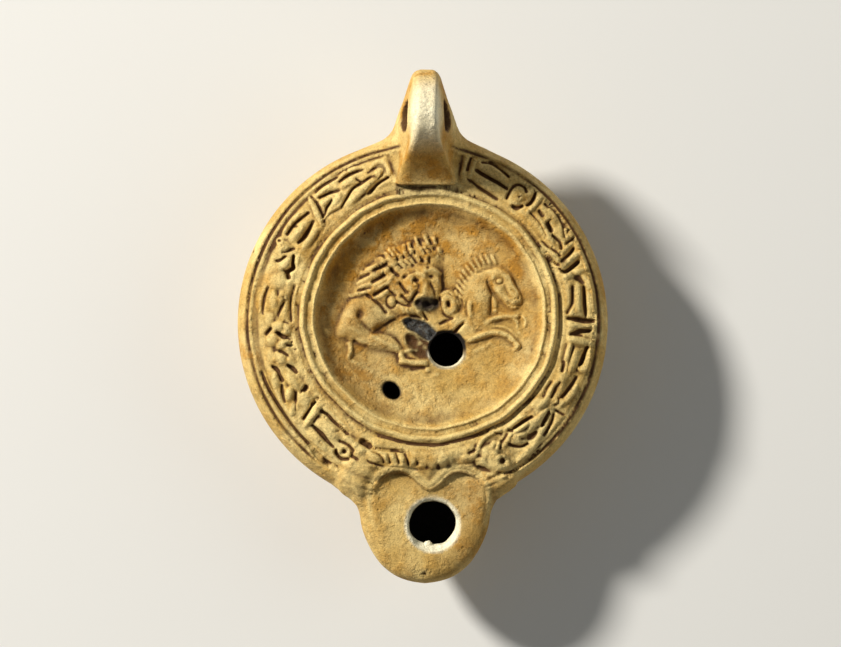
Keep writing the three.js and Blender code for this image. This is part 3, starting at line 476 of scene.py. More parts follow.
# Swelling pieces: azimuth, radius, half length along, half width outward, rise, tilt
FRIEZE_DOMES = [
    (24, 160, 17, 6, 0.35, -4), (24, 146, 16, 6, 0.35, 0), (36, 153, 9, 14, 0.3, 0),
    (43, 156, 3.6, 14, 0.45, 6), (39, 163, 3, 7, 0.35, -10), (49, 158, 13, 10, 0.3, 4),
    (58, 157, 13, 9, 0.3, -6), (53, 146, 18, 4.5, 0.35, -3), (67.3, 152, 4.4, 15, 0.45, 10),
    (73, 152, 3.4, 15, 0.3, 8), (77, 162, 9, 4, 0.3, 10), (82, 151, 17, 4, 0.35, -6),
    (84, 162, 11, 4, 0.3, 0), (92.7, 152, 3.2, 15, 0.5, -3), (98.5, 153, 4.6, 15, 0.6, -3),
    (106, 151, 13, 6, 0.45, -2), (104, 143.5, 12, 2.6, 0.45, 0), (108, 161, 4, 5, 0.45, 0),
    (105, 164, 14, 3, 0.3, 2), (118, 160.5, 13, 3.4, 0.5, -6), (122.5, 155, 5, 5, 0.4, 0),
    (114, 147, 14, 5, 0.3, 0), (127, 139, 10, 6, 0.45, -28), (133, 148.5, 15, 4, 0.4, 0),
    (135, 159, 13, 3.4, 0.35, 12), (143, 150, 10, 6, 0.35, -20), (143, 165, 16, 3.6, 0.35, 4),
    (138, 143.5, 13, 2.2, 0.5, -10), (140, 135, 14, 3.4, 0.4, -4), (155, 156, 8, 12, 0.3, 0),
    (160, 152, 5, 6, 0.45, 30), (164, 146, 9, 8, 0.3, 0), (173, 141, 9, 7, 0.3, 0),
    (192, 143, 19, 7, 0.35, 4), (201, 148, 7, 6, 0.3, 0), (208, 146, 8, 6, 0.4, 0),
    (212, 144, 10, 4, 0.35, -10), (222, 148, 15, 7, 0.45, 0), (222, 163, 14, 5, 0.4, -4),
    (229.6, 149, 3.6, 16, 0.6, 12), (236, 160, 4, 9, 0.45, 35), (237, 147, 9, 6, 0.35, 0),
    (241.5, 156, 8, 4.4, 0.5, -40), (245, 148, 11, 5, 0.45, 10), (248, 163, 9, 4, 0.4, -12),
    (255, 152, 8, 6, 0.5, 30), (257, 160, 9, 4, 0.35, 0), (260, 146, 4.5, 8, 0.45, 20),
    (262, 156, 7, 6, 0.5, 0), (267, 149, 6, 7, 0.45, 30), (266, 139, 8, 4, 0.4, 0),
    (270, 157, 7, 5, 0.4, 0), (277, 154, 12, 5, 0.4, 0), (278, 146, 8, 4, 0.35, 0),
    (277, 169, 12, 3, 0.2, 0), (284, 154, 8, 9, 0.45, 0), (291, 152, 9, 5, 0.45, -30),
    (296, 160, 8, 7, 0.4, 0), (304, 155, 15, 4.4, 0.45, -4), (305, 166, 14, 3.6, 0.35, -3),
    (304, 141, 15, 4, 0.35, 0), (321, 164, 10, 3.6, 0.35, -6), (319, 154, 9, 4, 0.45, -16),
    (323, 149, 10, 3.6, 0.4, 20), (330, 157, 11, 4, 0.45, 0), (332, 167, 11, 3.2, 0.3, 0),
    (336, 146, 20, 3.4, 0.55, 20), (330, 140, 16, 3, 0.4, 14), (341, 153, 7, 4, 0.4, 30),
]
# Raised bars: path of azimuths and radii, half width, rise
FRIEZE_BARS = [
    ([(13.4, 148), (13.4, 158), (13.8, 167)], 2, 0.4),
    ([(16.6, 146), (16.6, 158), (17, 167)], 2, 0.4),
    ([(57, 134), (61, 138), (65, 141), (68, 143)], 2.2, 0.55),
    ([(63.4, 140), (63.5, 152), (62, 162)], 2.2, 0.35),
    ([(147, 132), (151, 130.5), (155, 131.5), (158, 136), (160.5, 143)], 2.4, 0.55),
    ([(144.5, 141), (146.5, 144), (149, 147)], 2.4, 0.6),
    ([(150, 142.5), (151.3, 145), (152.8, 148.5)], 1.8, 0.5),
    ([(152, 139.5), (153.2, 141.5)], 2.6, 0.5),
    ([(156, 167), (158, 160), (158.5, 152), (156.5, 143)], 2.6, 0.4),
    ([(312, 141), (313.6, 152), (315.8, 168)], [1.8, 3.6, 1.8], 0.75),
    ([(339.5, 161), (342.5, 164.5), (345, 160), (345.4, 149)], 2.2, 0.5),
    ([(186.5, 151), (192, 152), (198, 155), (204, 156)], 1.6, 0.35),
    ([(232, 166), (240, 167), (250, 167.5)], 1.6, 0.3),
    ([(217, 135), (223, 134), (229, 135.5)], 1.6, 0.35),
    ([(296, 137.5), (304, 138), (312, 139.5)], 1.6, 0.3),
]
# Sunk lines and hollows: path, half width, depth
FRIEZE_CUTS = [
    ([(14.9, 153), (14.9, 160), (15.1, 166)], 1.2, 0.7),
    ([(18.2, 156), (19, 155), (24, 152.6), (28, 152), (31.4, 151.5)], [1.6, 2.2, 2.2, 2.1, 1.8], 1.0),
    ([(19.2, 165), (22, 167.5), (25, 166.3), (29.6, 163)], [1.2, 2.4, 2, 1.6], 0.75),
    ([(16.5, 144), (22, 140), (30, 137)], 2.2, 0.45),
    ([(33.4, 143), (33, 150), (33, 157), (34.2, 161.3), (36.4, 162.3), (38, 160)], 1.7, 0.75),
    ([(37, 140), (39, 141), (40.2, 146.5)], [1.6, 2.8, 1.4], 1.0),
    ([(40.2, 166.5), (41.4, 160), (41.8, 154), (41.2, 149.6)], [1, 2.4, 2.6, 1.2], 1.05),
    ([(46.2, 154), (48.2, 153.3)], 2.2, 0.8), ([(51.8, 152), (54.4, 150.5)], 2.6, 0.95),
    ([(51.2, 153.5), (51.3, 157.5)], 1, 0.5),
    ([(56.6, 149), (58.5, 150.7), (60.4, 151.8), (62.4, 149.8)], 1.6, 0.85),
    ([(45.6, 163), (49, 165), (53.5, 164.6), (57, 161), (59.4, 158)], 1.1, 0.5),
    ([(45.8, 163.4), (47.2, 162.8)], 1.6, 0.5), ([(55, 165.5), (56.4, 163.5)], 1.4, 0.5),
    ([(57.4, 166), (58.6, 163)], 1.2, 0.45), ([(61.3, 164), (61.6, 157)], 2, 0.65),
    ([(43.8, 146.5), (49.5, 146), (55, 143.5)], 1.2, 0.45),
    ([(56.3, 136.5), (59.5, 139.5), (62.5, 143.5), (64.6, 145.5)], 1.2, 0.65),
    ([(59, 131.8), (62, 134.6), (65.5, 136.4), (67.8, 140)], 1.6, 0.8),
    ([(64.3, 161), (65.6, 155), (66.6, 148), (67.6, 141)], [1.6, 2.2, 2.2, 1.8], 1.0),
    ([(69.4, 159.5), (70.3, 153), (71.2, 146), (71, 141.6)], [2.2, 2.5, 2.6, 1.8], 1.1),
    ([(71, 141.8), (69.2, 140)], 1.3, 0.6),
    ([(72.6, 151), (75, 154.5), (77, 159)], [2.4, 4.2, 2.6], 0.45),
    ([(78.6, 158.5), (84, 156.6), (89, 157)], [2, 2.6, 2.4], 0.7),
    ([(77.8, 147), (83.5, 144.4), (87.8, 139)], [1.8, 2.6, 2], 0.6),
    ([(90.8, 165), (90.8, 155), (90.3, 147), (90, 139)], [2, 4, 3.2, 1.6], 1.2),
    ([(94.3, 161), (94.8, 152), (96.3, 143)], [2.2, 3.4, 2.4], 0.85),
    ([(96.3, 154), (96.6, 147)], 1.4, 0.6),
    ([(100.2, 160.5), (104, 159), (107, 157.6)], [1.8, 2.8, 2], 0.95),
    ([(107.8, 142), (111.4, 143.3)], 2, 0.8), ([(100.5, 140), (105, 139.6), (108, 140)], 1.2, 0.5),
    ([(101, 147.4), (106, 147), (111, 148)], 1.1, 0.35),
    ([(111.5, 158.5), (116.5, 156.5), (120.5, 154)], [1.6, 2.8, 2], 0.7),
    ([(121.5, 152.4), (123, 154.6), (124.4, 153)], 1.5, 0.75),
    ([(116, 146), (119, 145), (122.6, 145.6)], [1.6, 3, 1.6], 0.6),
    ([(125.3, 165), (125.7, 156)], 1.7, 0.65),
    ([(117.2, 138), (121, 137), (124.5, 139)], 1.6, 0.45),
    ([(127.4, 157), (130.5, 160.5), (135, 163)], [2.6, 2.4, 1.6], 0.65),
    ([(127.6, 151.6), (130.6, 153.3), (133.2, 155.8)], [1.4, 2.3, 1.6], 1.05),
    ([(136.8, 156.5), (139.5, 155), (142, 151.5)], [3, 4.2, 2.6], 0.55),
    ([(141.4, 158.5), (144, 157), (145.8, 153), (147.2, 148.5)], 1.5, 0.75),
    ([(133.4, 142), (137.5, 139.4), (141.8, 138)], [1.4, 2.3, 1.8], 0.95),
    ([(143.2, 139.5), (144.2, 136.5)], 1.6, 0.7), ([(147.6, 136), (149.4, 132)], 1.5, 0.6),
    ([(145.6, 139.4), (149, 143)], 1.3, 0.5), ([(149.2, 141.5), (151, 147.5)], 1.1, 0.45),
    ([(140, 171), (146, 171.6), (151, 173), (154.8, 170)], 1.7, 0.85),
    ([(155, 169), (158, 162), (161, 156)], [2.4, 3.2, 2.4], 0.6),
    ([(160.5, 139), (163, 140)], 1.5, 0.6), ([(187.6, 146), (188.4, 141), (189.6, 136)], 1.3, 0.75),
    ([(191, 147), (192, 142), (193.2, 138)], 1.3, 0.7),
    ([(194.4, 148), (195.2, 144), (196.2, 140.5)], 1.3, 0.65),
    ([(196.8, 148.8), (198, 145.4), (200, 143.3), (202.6, 142.6)], 1.3, 0.65),
    ([(184, 150.6), (191, 150.8), (196, 153.4), (202.6, 154)], 1.2, 0.55),
    ([(190, 134), (197, 136.4), (201, 138.8), (204.4, 140.3)], 1.6, 1.0),
    ([(204.6, 139), (207.6, 138.4)], 4.0, 1.35), ([(206.6, 156), (208.4, 155.6)], 2, 0.7),
    ([(209.4, 160), (211.6, 163), (214.2, 161), (214.8, 158.4)], [1.8, 2.5, 2.5, 1.4], 1.1),
    ([(209, 150), (212, 147.8), (215.6, 149.6)], 1.4, 0.55),
    ([(208.6, 157), (209.2, 152)], 1.3, 0.45),
    ([(216, 158), (219.5, 156.6), (222.5, 155), (227, 156)], [1, 2, 2.9, 1], 1.15),
    ([(214.6, 139.6), (218, 138.2), (222.5, 138.2), (226, 137.4), (229.2, 140.6)], 1.5, 0.85),
    ([(218, 141), (219, 146)], 0.9, 0.35), ([(219.6, 163.4), (221, 162.4)], 1.3, 0.5),
    ([(211, 172), (214.5, 173.8), (218, 173.8), (222.5, 171.6)], [1.2, 3.2, 3.2, 1.4], 1.5),
    ([(222, 171.5), (232, 170.8), (245, 172), (252, 173)], 1.5, 0.75),
    ([(231, 158), (232, 150), (233, 142), (234, 134)], 1.5, 0.95),
    ([(233.4, 142), (233.8, 138.5)], 2.7, 1.0),
    ([(235, 160), (237.8, 154.4), (240.4, 149.6)], [1.2, 2.1, 1.2], 0.7),
    ([(239.6, 164), (243, 161.3), (245.4, 158.6)], [1, 2.1, 1], 0.65),
    ([(239.8, 141), (240.4, 138.4)], 2.8, 0.95), ([(239.4, 145.6), (240, 144)], 1.2, 0.6),
    ([(247.6, 140.6), (249.6, 142.4), (251.4, 146)], [2, 3, 1.4], 1.2),
    ([(247, 156.4), (249.4, 157)], 2.3, 0.65),
    ([(250.4, 156.6), (251.6, 158.2), (252.8, 161)], [2, 2.5, 1.2], 1.05),
    ([(255, 142.8), (256.4, 146), (257.2, 150)], 1.2, 0.7),
    ([(258.2, 136), (259.4, 142.4)], 1.4, 0.8),
    ([(262, 138), (262.6, 143.4), (264.6, 149.6)], [2.2, 2.7, 1.6], 1.25),
    ([(256.6, 134), (258.4, 136), (262, 136.4)], 1.2, 0.6),
    ([(264.6, 160.6), (266.4, 155.4)], 1.7, 0.85), ([(267.6, 138), (268.6, 142)], 1.2, 0.5),
    ([(272, 164), (277, 163.2), (281.4, 161.2)], [1.2, 2.2, 1.2], 0.7),
    ([(271, 148.6), (274.4, 145), (276.4, 143)], [1.2, 2.2, 1.2], 0.6),
    ([(278.8, 150.4), (280.4, 151.6)], 1.2, 0.4),
    ([(269, 135), (277, 136.4), (284, 135.6)], 1.6, 0.5),
    ([(286.6, 143.6), (288.4, 146), (290.6, 142.6), (292.4, 144.6), (295, 146.6)],
     [3, 3.4, 3.4, 2.4, 1.6], 1.35),
    ([(288, 146), (288.6, 150.4)], 1.4, 0.8),
    ([(291, 160.6), (291.6, 157), (293.6, 154)], 1.4, 0.75),
    ([(294.6, 157.6), (296, 153.6), (297.6, 149.6)], 1.5, 0.7),
    ([(301, 162.6), (305, 162.6), (308, 160.6), (311.6, 158.4)], [1.4, 2.1, 1.6, 1.6], 0.85),
    ([(300.4, 148.6), (304, 146.4), (310.4, 149)], [1.4, 3.1, 1.4], 1.0),
    ([(305.2, 158), (305, 160.6)], 1.4, 0.4),
    ([(316.4, 167.6), (316.4, 160), (315.6, 152), (314.2, 144.6)], 1.4, 0.95),
    ([(318.2, 161.6), (321.6, 159), (325.2, 155.4)], 1.6, 0.8),
    ([(315.2, 145), (318, 149), (321, 151.4)], 1.6, 0.8),
    ([(318.6, 168.4), (322, 168.6), (327.4, 167)], 1.3, 0.55),
    ([(327.2, 162.2), (331.4, 163.4), (336.6, 162)], [1, 2.1, 1], 0.8),
    ([(322, 139.6), (326, 143.8), (330, 148.8), (334, 150), (339.6, 151.8)],
     [1.2, 1.7, 1.7, 1.7, 1], 0.85),
    ([(334.8, 137), (337, 139.6), (340, 142.6), (344.6, 145.8)], [1.6, 2, 1.7, 1.2], 0.85),
    ([(332.8, 156.6), (334.2, 151)], 1.3, 0.65), ([(337.6, 156.6), (341, 159.4)], 0.9, 0.45),
    ([(331.4, 170), (331.6, 164)], 1, 0.4), ([(312.6, 141), (317, 141.6), (321, 139.6)], 1.5, 0.5),
]
# Bosses: azimuth, radius, size
FRIEZE_RINGS = [(36.8, 151.3, 2.7), (152.5, 159.5, 5.4), (212, 155.6, 4.4), (278.4, 144.6, 2.8),
                (297.8, 166.2, 2.6)]
FRIEZE_INNER = 138
FRIEZE_OUTER = 169
FRIEZE_RISE = 0.6
FRIEZE_SWELL = 1.5
FRIEZE_DEPTH = 1.12


def draw_frieze(relief):
    # The pieces lie so close that the whole band is raised, and its ground shows as sunk lines
    for start, end, inner, outer in ((12, 161, FRIEZE_INNER, FRIEZE_OUTER), (159, 188, 131, 149),
                                     (186, 348, FRIEZE_INNER, FRIEZE_OUTER)):
        outline = [around(a, outer) for a in np.arange(start, end + 0.1, 4)]
        outline += [around(a, inner) for a in np.arange(end, start - 0.1, -4)]
        relief.pillow(outline, FRIEZE_RISE, 5, curved=False, mode="over")
    for azimuth, radius, along, outward, rise, tilt in FRIEZE_DOMES:
        relief.blob(around(azimuth, radius), (along, outward), rise * FRIEZE_SWELL, tilt - azimuth,
                    power=0.7)
    for path, half, rise in FRIEZE_BARS:
        relief.stroke([around(*point) for point in path], half, rise)
    for path, half, depth in FRIEZE_CUTS:
        relief.stroke([around(*point) for point in path], half, -depth * FRIEZE_DEPTH, power=0.8)
    for azimuth, radius, size in FRIEZE_RINGS:
        centre = around(azimuth, radius)
        relief.ring(centre, size, 1.6, 0.45)
        relief.blob(centre, (size * 0.62, size * 0.62), -0.85)
    for dot in range(6):
        relief.blob(around(164.5 + dot * 3.1, 135.5), (2.2, 2.2), 0.5)
    for azimuth, radius, size in ((172, 146, 3.4), (176, 147, 2.6), (180.4, 147, 2), (184, 144, 2.4)):
        relief.blob(around(azimuth, radius), (size, size * 1.4), -0.6, -azimuth)


# Nozzle heart, rim, breaks and wear

HEART_SIDE = [(0.35, 0.03), (0.6, 0), (0.85, 0.06), (0.98, 0.175), (1, 0.32), (0.96, 0.475),
              (0.86, 0.655), (0.7, 0.8), (0.45, 0.925), (0.2, 0.985)]


def heart_loop():
    lobe = HEART_TIP + HEART_LENGTH
    right = [(HEART_SHIFT + HEART_HALF * a, lobe + (HEART_TIP - lobe) * b) for a, b in HEART_SIDE]
    left = [(2 * HEART_SHIFT - x, y) for x, y in reversed(right)]
    points = [(HEART_SHIFT, lobe - HEART_CLEFT)] + right + [(HEART_SHIFT, HEART_TIP)] + left
    return smooth_curve(points, closed=True, steps=8)


def top_height(loop, radius):
    """Height of the turned body's upper side at a radius."""
    start = int(np.argmax(loop[:, 0]))
    order = np.argsort(loop[start:, 0])
    return np.interp(radius, loop[start:, 0][order], loop[start:, 1][order])


WORN_BAND = (35.6, 39.3)
# Angles from the nozzle's axis, in degrees, between which the edge rings fade
RINGS_FADE = (27, 38)


def worn_rings(gx, gy):
    """Clay that fills the edge rings: all of them beside the nozzle, and some of them elsewhere."""
    loop = body_loop()
    radius = radius_at(gx, gy)
    level = np.interp(radius, WORN_BAND, top_height(loop, np.array(WORN_BAND)))
    low, high = WORN_BAND
    fill = np.where((radius > low) & (radius < high), level - top_height(loop, radius), 0)
    angle = np.degrees(np.arctan2(np.abs(gx), -gy))
    beside = smooth_step(RINGS_FADE[1], RINGS_FADE[0], angle)
    wear = 0.2 + 0.25 * smooth_step(-10, 20, gx) + 0.3 * np.clip(noise_map(3.5, 21), -0.8, 1.8)
    return fill * np.maximum(beside, np.clip(wear, 0, 0.9))


def build_relief():
    """The whole relief map, and the distance to the heart's outline."""
    relief = ReliefMap()
    draw_lion(relief)
    draw_horse(relief)
    draw_frieze(relief)
    relief.height = blur(relief.height, 0.15)
    gx, gy = np.meshgrid(relief.x, relief.y, indexing="ij")
    relief.height += worn_rings(gx, gy)
    # Uneven, hand-worked ground and worn patches
    relief.height += 0.05 * noise_map(2.4, 1) + 0.018 * noise_map(0.45, 2)
    heart = outline_distance(heart_loop(), gx, gy)
    # The rim stands up round the lobes and fades along the sides into the rounded edge, and the
    # heart's floor curves up to it
    lobes = smooth_step(-46, -36.5, gy)
    dish = HEART_DISH * smooth_step(-3, 0.3, heart) * lobes
    relief.height = np.where(heart < 0, dish + 0.04 * noise_map(1.6, 3), relief.height)
    rim = RIM_RISE * np.exp(-(((heart - RIM_OUT) / RIM_HALF_WIDTH) ** 2)) * (heart > 0)
    foot = RIM_RISE * math.exp(-((RIM_OUT / RIM_HALF_WIDTH) ** 2))
    rim += foot * smooth_step(-1.0, 0, heart) * (heart <= 0)
    relief.height += rim * (0.15 + 0.85 * lobes) * (0.88 + 0.12 * noise_map(2.0, 4))
    draw_breaks(relief)
    return relief, heart


BREAK_OUTLINE = [(403, 321), (409, 318.5), (418, 320), (427, 323.5), (433, 329), (438, 335), (434, 341),
                 (428, 342), (421, 338), (416, 334), (409, 331), (404.5, 326)]
SLOPE_OUTLINE = [(405, 335), (416, 334), (430, 341), (434, 348), (433, 357), (424, 361), (414, 357),
                 (407, 347)]
# Chips at the nozzle's tip: pixel, size and depth
NOZZLE_CHIPS = [(424, 573, 2.2, 0.9), (421, 573.5, 1.6, 0.5)]
PIT_COUNT = 150
PIT_REACH = 184


def draw_breaks(relief):
    """The broken place beside the filling hole, small chips and pits."""
    before = relief.height.copy()
    relief.pillow(SLOPE_OUTLINE, -1.0, 8)
    relief.pillow(BREAK_OUTLINE, -1.7, 5)
    relief.stroke([(406, 323), (412, 326), (417, 324)], 2.2, 0.6)
    relief.stroke([(420, 327), (425, 332), (430, 335)], 1.8, 0.5)
    rough = before - relief.height
    relief.height -= np.clip(rough, 0, 1) * (0.22 * noise_map(0.4, 5))
    relief.stroke([(455, 333), (459, 328), (464, 323.5)], [2.6, 2.2, 1.5], -1.2)
    # The shadowed edge under the handle's root
    relief.stroke([(401, 195), (420, 194), (440, 192.5), (457, 190.5)], [2.2, 3.2, 3, 2], -1.0)
    relief.stroke([(440, 325), (446, 322), (452, 320)], [2, 2.4, 1.5], -0.5)
    for cx, cy, size, depth in NOZZLE_CHIPS:
        relief.blob((cx, cy), (size, size), -depth)
    local = np.random.default_rng(31)
    for _ in range(PIT_COUNT):
        turn, reach = local.uniform(0, 360), PIT_REACH * math.sqrt(local.uniform(0.01, 1))
        size = local.uniform(0.5, 1.2)
        centre = (BODY_PIXEL[0] + reach * math.cos(turn), BODY_PIXEL[1] + reach * math.sin(turn))
        relief.blob(centre, (size, size * local.uniform(0.6, 1)), -local.uniform(0.04, 0.2), turn * 57)


# The lamp as a distance field, in millimetres, negative inside

NOZZLE_ROOT = BODY_RADIUS * 0.88
NOZZLE_INNER = BODY_RADIUS * 0.62
NOZZLE_PLAN = [(0, 1.36), (0.12, 1.15), (0.26, 1.03), (0.42, 0.985), (0.56, 0.91), (0.7, 0.8),
               (0.82, 0.66), (0.92, 0.46), (0.975, 0.24), (1, 0)]
# Height share, reach share and width share of the nozzle's level outlines
NOZZLE_LEVELS = [(0.08, 0.12, 0.42), (0.18, 0.5, 0.56), (0.32, 0.76, 0.7), (0.48, 0.9, 0.83),
                 (0.66, 0.98, 0.94), (0.84, 1, 1), (0.95, 0.985, 0.985), (1, 0.955, 0.95)]
# Share along, crest and underside as shares of the rise, half widths' shares, hollow of the flank
HANDLE_SECTIONS = [
    (0, 0.13, -0.7, 2.8, 1.2, 1), (0.1, 0.26, -0.7, 2.35, 1.6, 1.6),
    (0.22, 0.5, -0.72, 1.8, 2, 2.2), (0.33, 0.78, -0.74, 1.3, 2.15, 2.6),
    (0.42, 0.94, -0.72, 1.08, 1.45, 1.7), (0.53, 1, -0.62, 0.96, 1.18, 1.1),
    (0.64, 0.98, -0.47, 0.94, 1.02, 1), (0.76, 0.87, -0.27, 0.96, 0.81, 1),
    (0.87, 0.68, -0.06, 1.0, 0.65, 1), (0.95, 0.46, 0.02, 1.0, 0.56, 1),
    (1, 0.28, 0.12, 0.75, 0.42, 1),
]
FLANK_WIDEST = 0.27
FLANK_SHIFT = 0.35


def smooth_step(low, high, value):
    t = np.clip((value - low) / (high - low), 0, 1)
    return t * t * (3 - 2 * t)


def smooth_max(a, b, round_off):
    return 0.5 * (a + b + np.sqrt((a - b) ** 2 + round_off**2))


def smooth_min(a, b, blend):
    share = np.clip(0.5 + 0.5 * (b - a) / blend, 0, 1)
    return b + (a - b) * share - blend * share * (1 - share)


# The turned sections are closed this far beyond the axis
PAST_AXIS = -12


def belly_profile(radius, height, base, lift, steps):
    """Quarter round from the foot up to the widest place."""
    turns = np.linspace(0, math.pi / 2, steps + 1)[1:-1]
    out = base + (radius - base) * np.sin(turns)
    rise = lift + height * (1 - np.cos(turns)) ** 0.8
    return list(zip(out, rise))


def body_loop(ringed=True):
    """Section of the turned body, with its ring grooves or without them."""
    groove_in, groove_out, groove_depth = FOOT_GROOVE
    if not ringed:
        groove_depth = 0
    underside = [(PAST_AXIS, 0), (groove_in, 0), (groove_in + 0.3, groove_depth),
                 (groove_out - 0.3, groove_depth), (groove_out, 0), (FOOT_RADIUS, 0),
                 (FOOT_RADIUS + 0.5, 0.7)]
    underside += belly_profile(BODY_RADIUS, WAIST_HEIGHT, FOOT_RADIUS + 0.5, 0, 24)
    top = [
        (BODY_RADIUS, WAIST_HEIGHT),
        (BODY_RADIUS - 0.45, (WAIST_HEIGHT + BAND_OUTER_HEIGHT) / 2),
        (BODY_RADIUS - 1.4, BAND_OUTER_HEIGHT - 1),
        (EDGE_RIDGE_RADIUS, BAND_OUTER_HEIGHT),
        (EDGE_GROOVE_RADIUS, BAND_OUTER_HEIGHT - RING_RISE),
        (BAND_RIDGE_RADIUS, BAND_OUTER_HEIGHT + RING_RISE),
        (BAND_OUTER_RADIUS, BAND_OUTER_HEIGHT),
        (BAND_INNER_RADIUS, BAND_INNER_HEIGHT),
        (RING_GROOVE_RADIUS, DISCUS_EDGE_HEIGHT - RING_GROOVE_DEPTH),
        (RING_RIDGE_RADIUS, DISCUS_EDGE_HEIGHT + RING_RISE),
        (DISCUS_GROOVE_RADIUS, DISCUS_EDGE_HEIGHT - DISCUS_GROOVE_DEPTH),
    ]
    top += [(DISCUS_RADIUS * out, DISCUS_EDGE_HEIGHT - DISCUS_DEPTH * down)
            for out, down in DISCUS_DISH]
    top += [(0, DISCUS_FLOOR), (PAST_AXIS, DISCUS_FLOOR + 0.3)]
    if not ringed:
        rings = (EDGE_GROOVE_RADIUS, BAND_RIDGE_RADIUS, RING_GROOVE_RADIUS, DISCUS_GROOVE_RADIUS)
        top = [point for point in top if point[0] not in rings]
    return np.vstack([underside, smooth_curve(top, steps=5)])


def hollow_loop():
    """Section of the reservoir, a wall's thickness inside the body."""
    radius = BODY_RADIUS - WALL
    corner = FOOT_RADIUS - 1.2
    points = [(PAST_AXIS, FLOOR_THICKNESS), (corner, FLOOR_THICKNESS)]
    points += belly_profile(radius, WAIST_HEIGHT - FLOOR_THICKNESS, corner, FLOOR_THICKNESS, 14)
    points += [
        (radius, WAIST_HEIGHT),
        (radius - 1, BAND_OUTER_HEIGHT - WALL - 0.5),
        (BODY_RADIUS - 4.9, BAND_OUTER_HEIGHT - WALL),
        (BAND_INNER_RADIUS, BAND_INNER_HEIGHT - WALL),
        (DISCUS_RADIUS, BAND_INNER_HEIGHT - WALL - 1),
        (DISCUS_RADIUS * 0.88, DISCUS_FLOOR - WALL + DISCUS_DEPTH * 0.3),
        (DISCUS_RADIUS * 0.66, DISCUS_FLOOR - WALL + DISCUS_DEPTH * 0.08),
        (PAST_AXIS, DISCUS_FLOOR - WALL),
    ]
    return np.array(points, float)


def radius_at(x, y):
    """Radius on the lamp's own rings, which lie a little off its centre and are slightly oval."""
    radius = np.hypot(x, y)
    for _ in range(6):
        share = np.clip((EDGE_RIDGE_RADIUS - radius) / (EDGE_RIDGE_RADIUS - RING_GROOVE_RADIUS), 0, 1)
        along = (y - DISCUS_SHIFT[1] * share) / (1 - DISCUS_OVAL * share)
        radius = np.hypot(x - DISCUS_SHIFT[0] * share, along)
    turn = np.arctan2(y, x)
    wobble = 0.11 * np.sin(5 * turn + 1) + 0.08 * np.sin(11 * turn + 2) + 0.06 * np.sin(23 * turn)
    return radius + wobble * smooth_step(40, 36, radius) * smooth_step(18, 24, radius)


def sample_map(grid, x, y):
    """Bilinear reading of a map at points in the plan."""
    u = np.clip((x - MAP_LOW[0]) / MAP_STEP, 0, MAP_CELLS[0] - 1.001)
    v = np.clip((y - MAP_LOW[1]) / MAP_STEP, 0, MAP_CELLS[1] - 1.001)
    i, j = u.astype(int), v.astype(int)
    fu, fv = u - i, v - j
    return (grid[i, j] * (1 - fu) * (1 - fv) + grid[i + 1, j] * fu * (1 - fv)
            + grid[i, j + 1] * (1 - fu) * fv + grid[i + 1, j + 1] * fu * fv)


def nozzle_plan_map():
    """Distance to the nozzle's outline in plan."""
    beyond = NOZZLE_LENGTH - NOZZLE_ROOT
    right = [(NOZZLE_SHIFT + half * NOZZLE_HALF_WIDTH, -(NOZZLE_ROOT + along * beyond))
             for along, half in NOZZLE_PLAN]
    left = [(2 * NOZZLE_SHIFT - x, y) for x, y in right]
    curve = np.vstack([smooth_curve(left, steps=5), smooth_curve(right[::-1], steps=5)[1:]])
    inner = NOZZLE_HALF_WIDTH * 0.9
    ends = [[(NOZZLE_SHIFT + side * inner, -NOZZLE_INNER)] for side in (-1, 1)]
    loop = np.vstack([ends[0], curve, ends[1]])
    gx, gy = np.meshgrid(MAP_LOW[0] + MAP_STEP * np.arange(MAP_CELLS[0]),
                         MAP_LOW[1] + MAP_STEP * np.arange(MAP_CELLS[1]), indexing="ij")
    return outline_distance(loop, gx, gy)


def handle_table():
    """The handle's sections, smoothed along its length, as columns over y."""
    table = np.array(HANDLE_SECTIONS, float)
    fine = np.linspace(-0.1, 1.1, 241)
    kernel = np.exp(-0.5 * (np.arange(-12, 13) / 5.0) ** 2)
    kernel /= kernel.sum()
    columns = []
    for k in range(1, 6):
        column = np.interp(fine, table[:, 0], table[:, k])
        padded = np.pad(column, 12, mode="edge")
        columns.append(np.convolve(padded, kernel, mode="valid"))
    return HANDLE_ROOT + (HANDLE_REACH - HANDLE_ROOT) * fine, columns


# The relief fades between these heights, so that it lies on the upper side only
RELIEF_FADE = (20.5, 23)


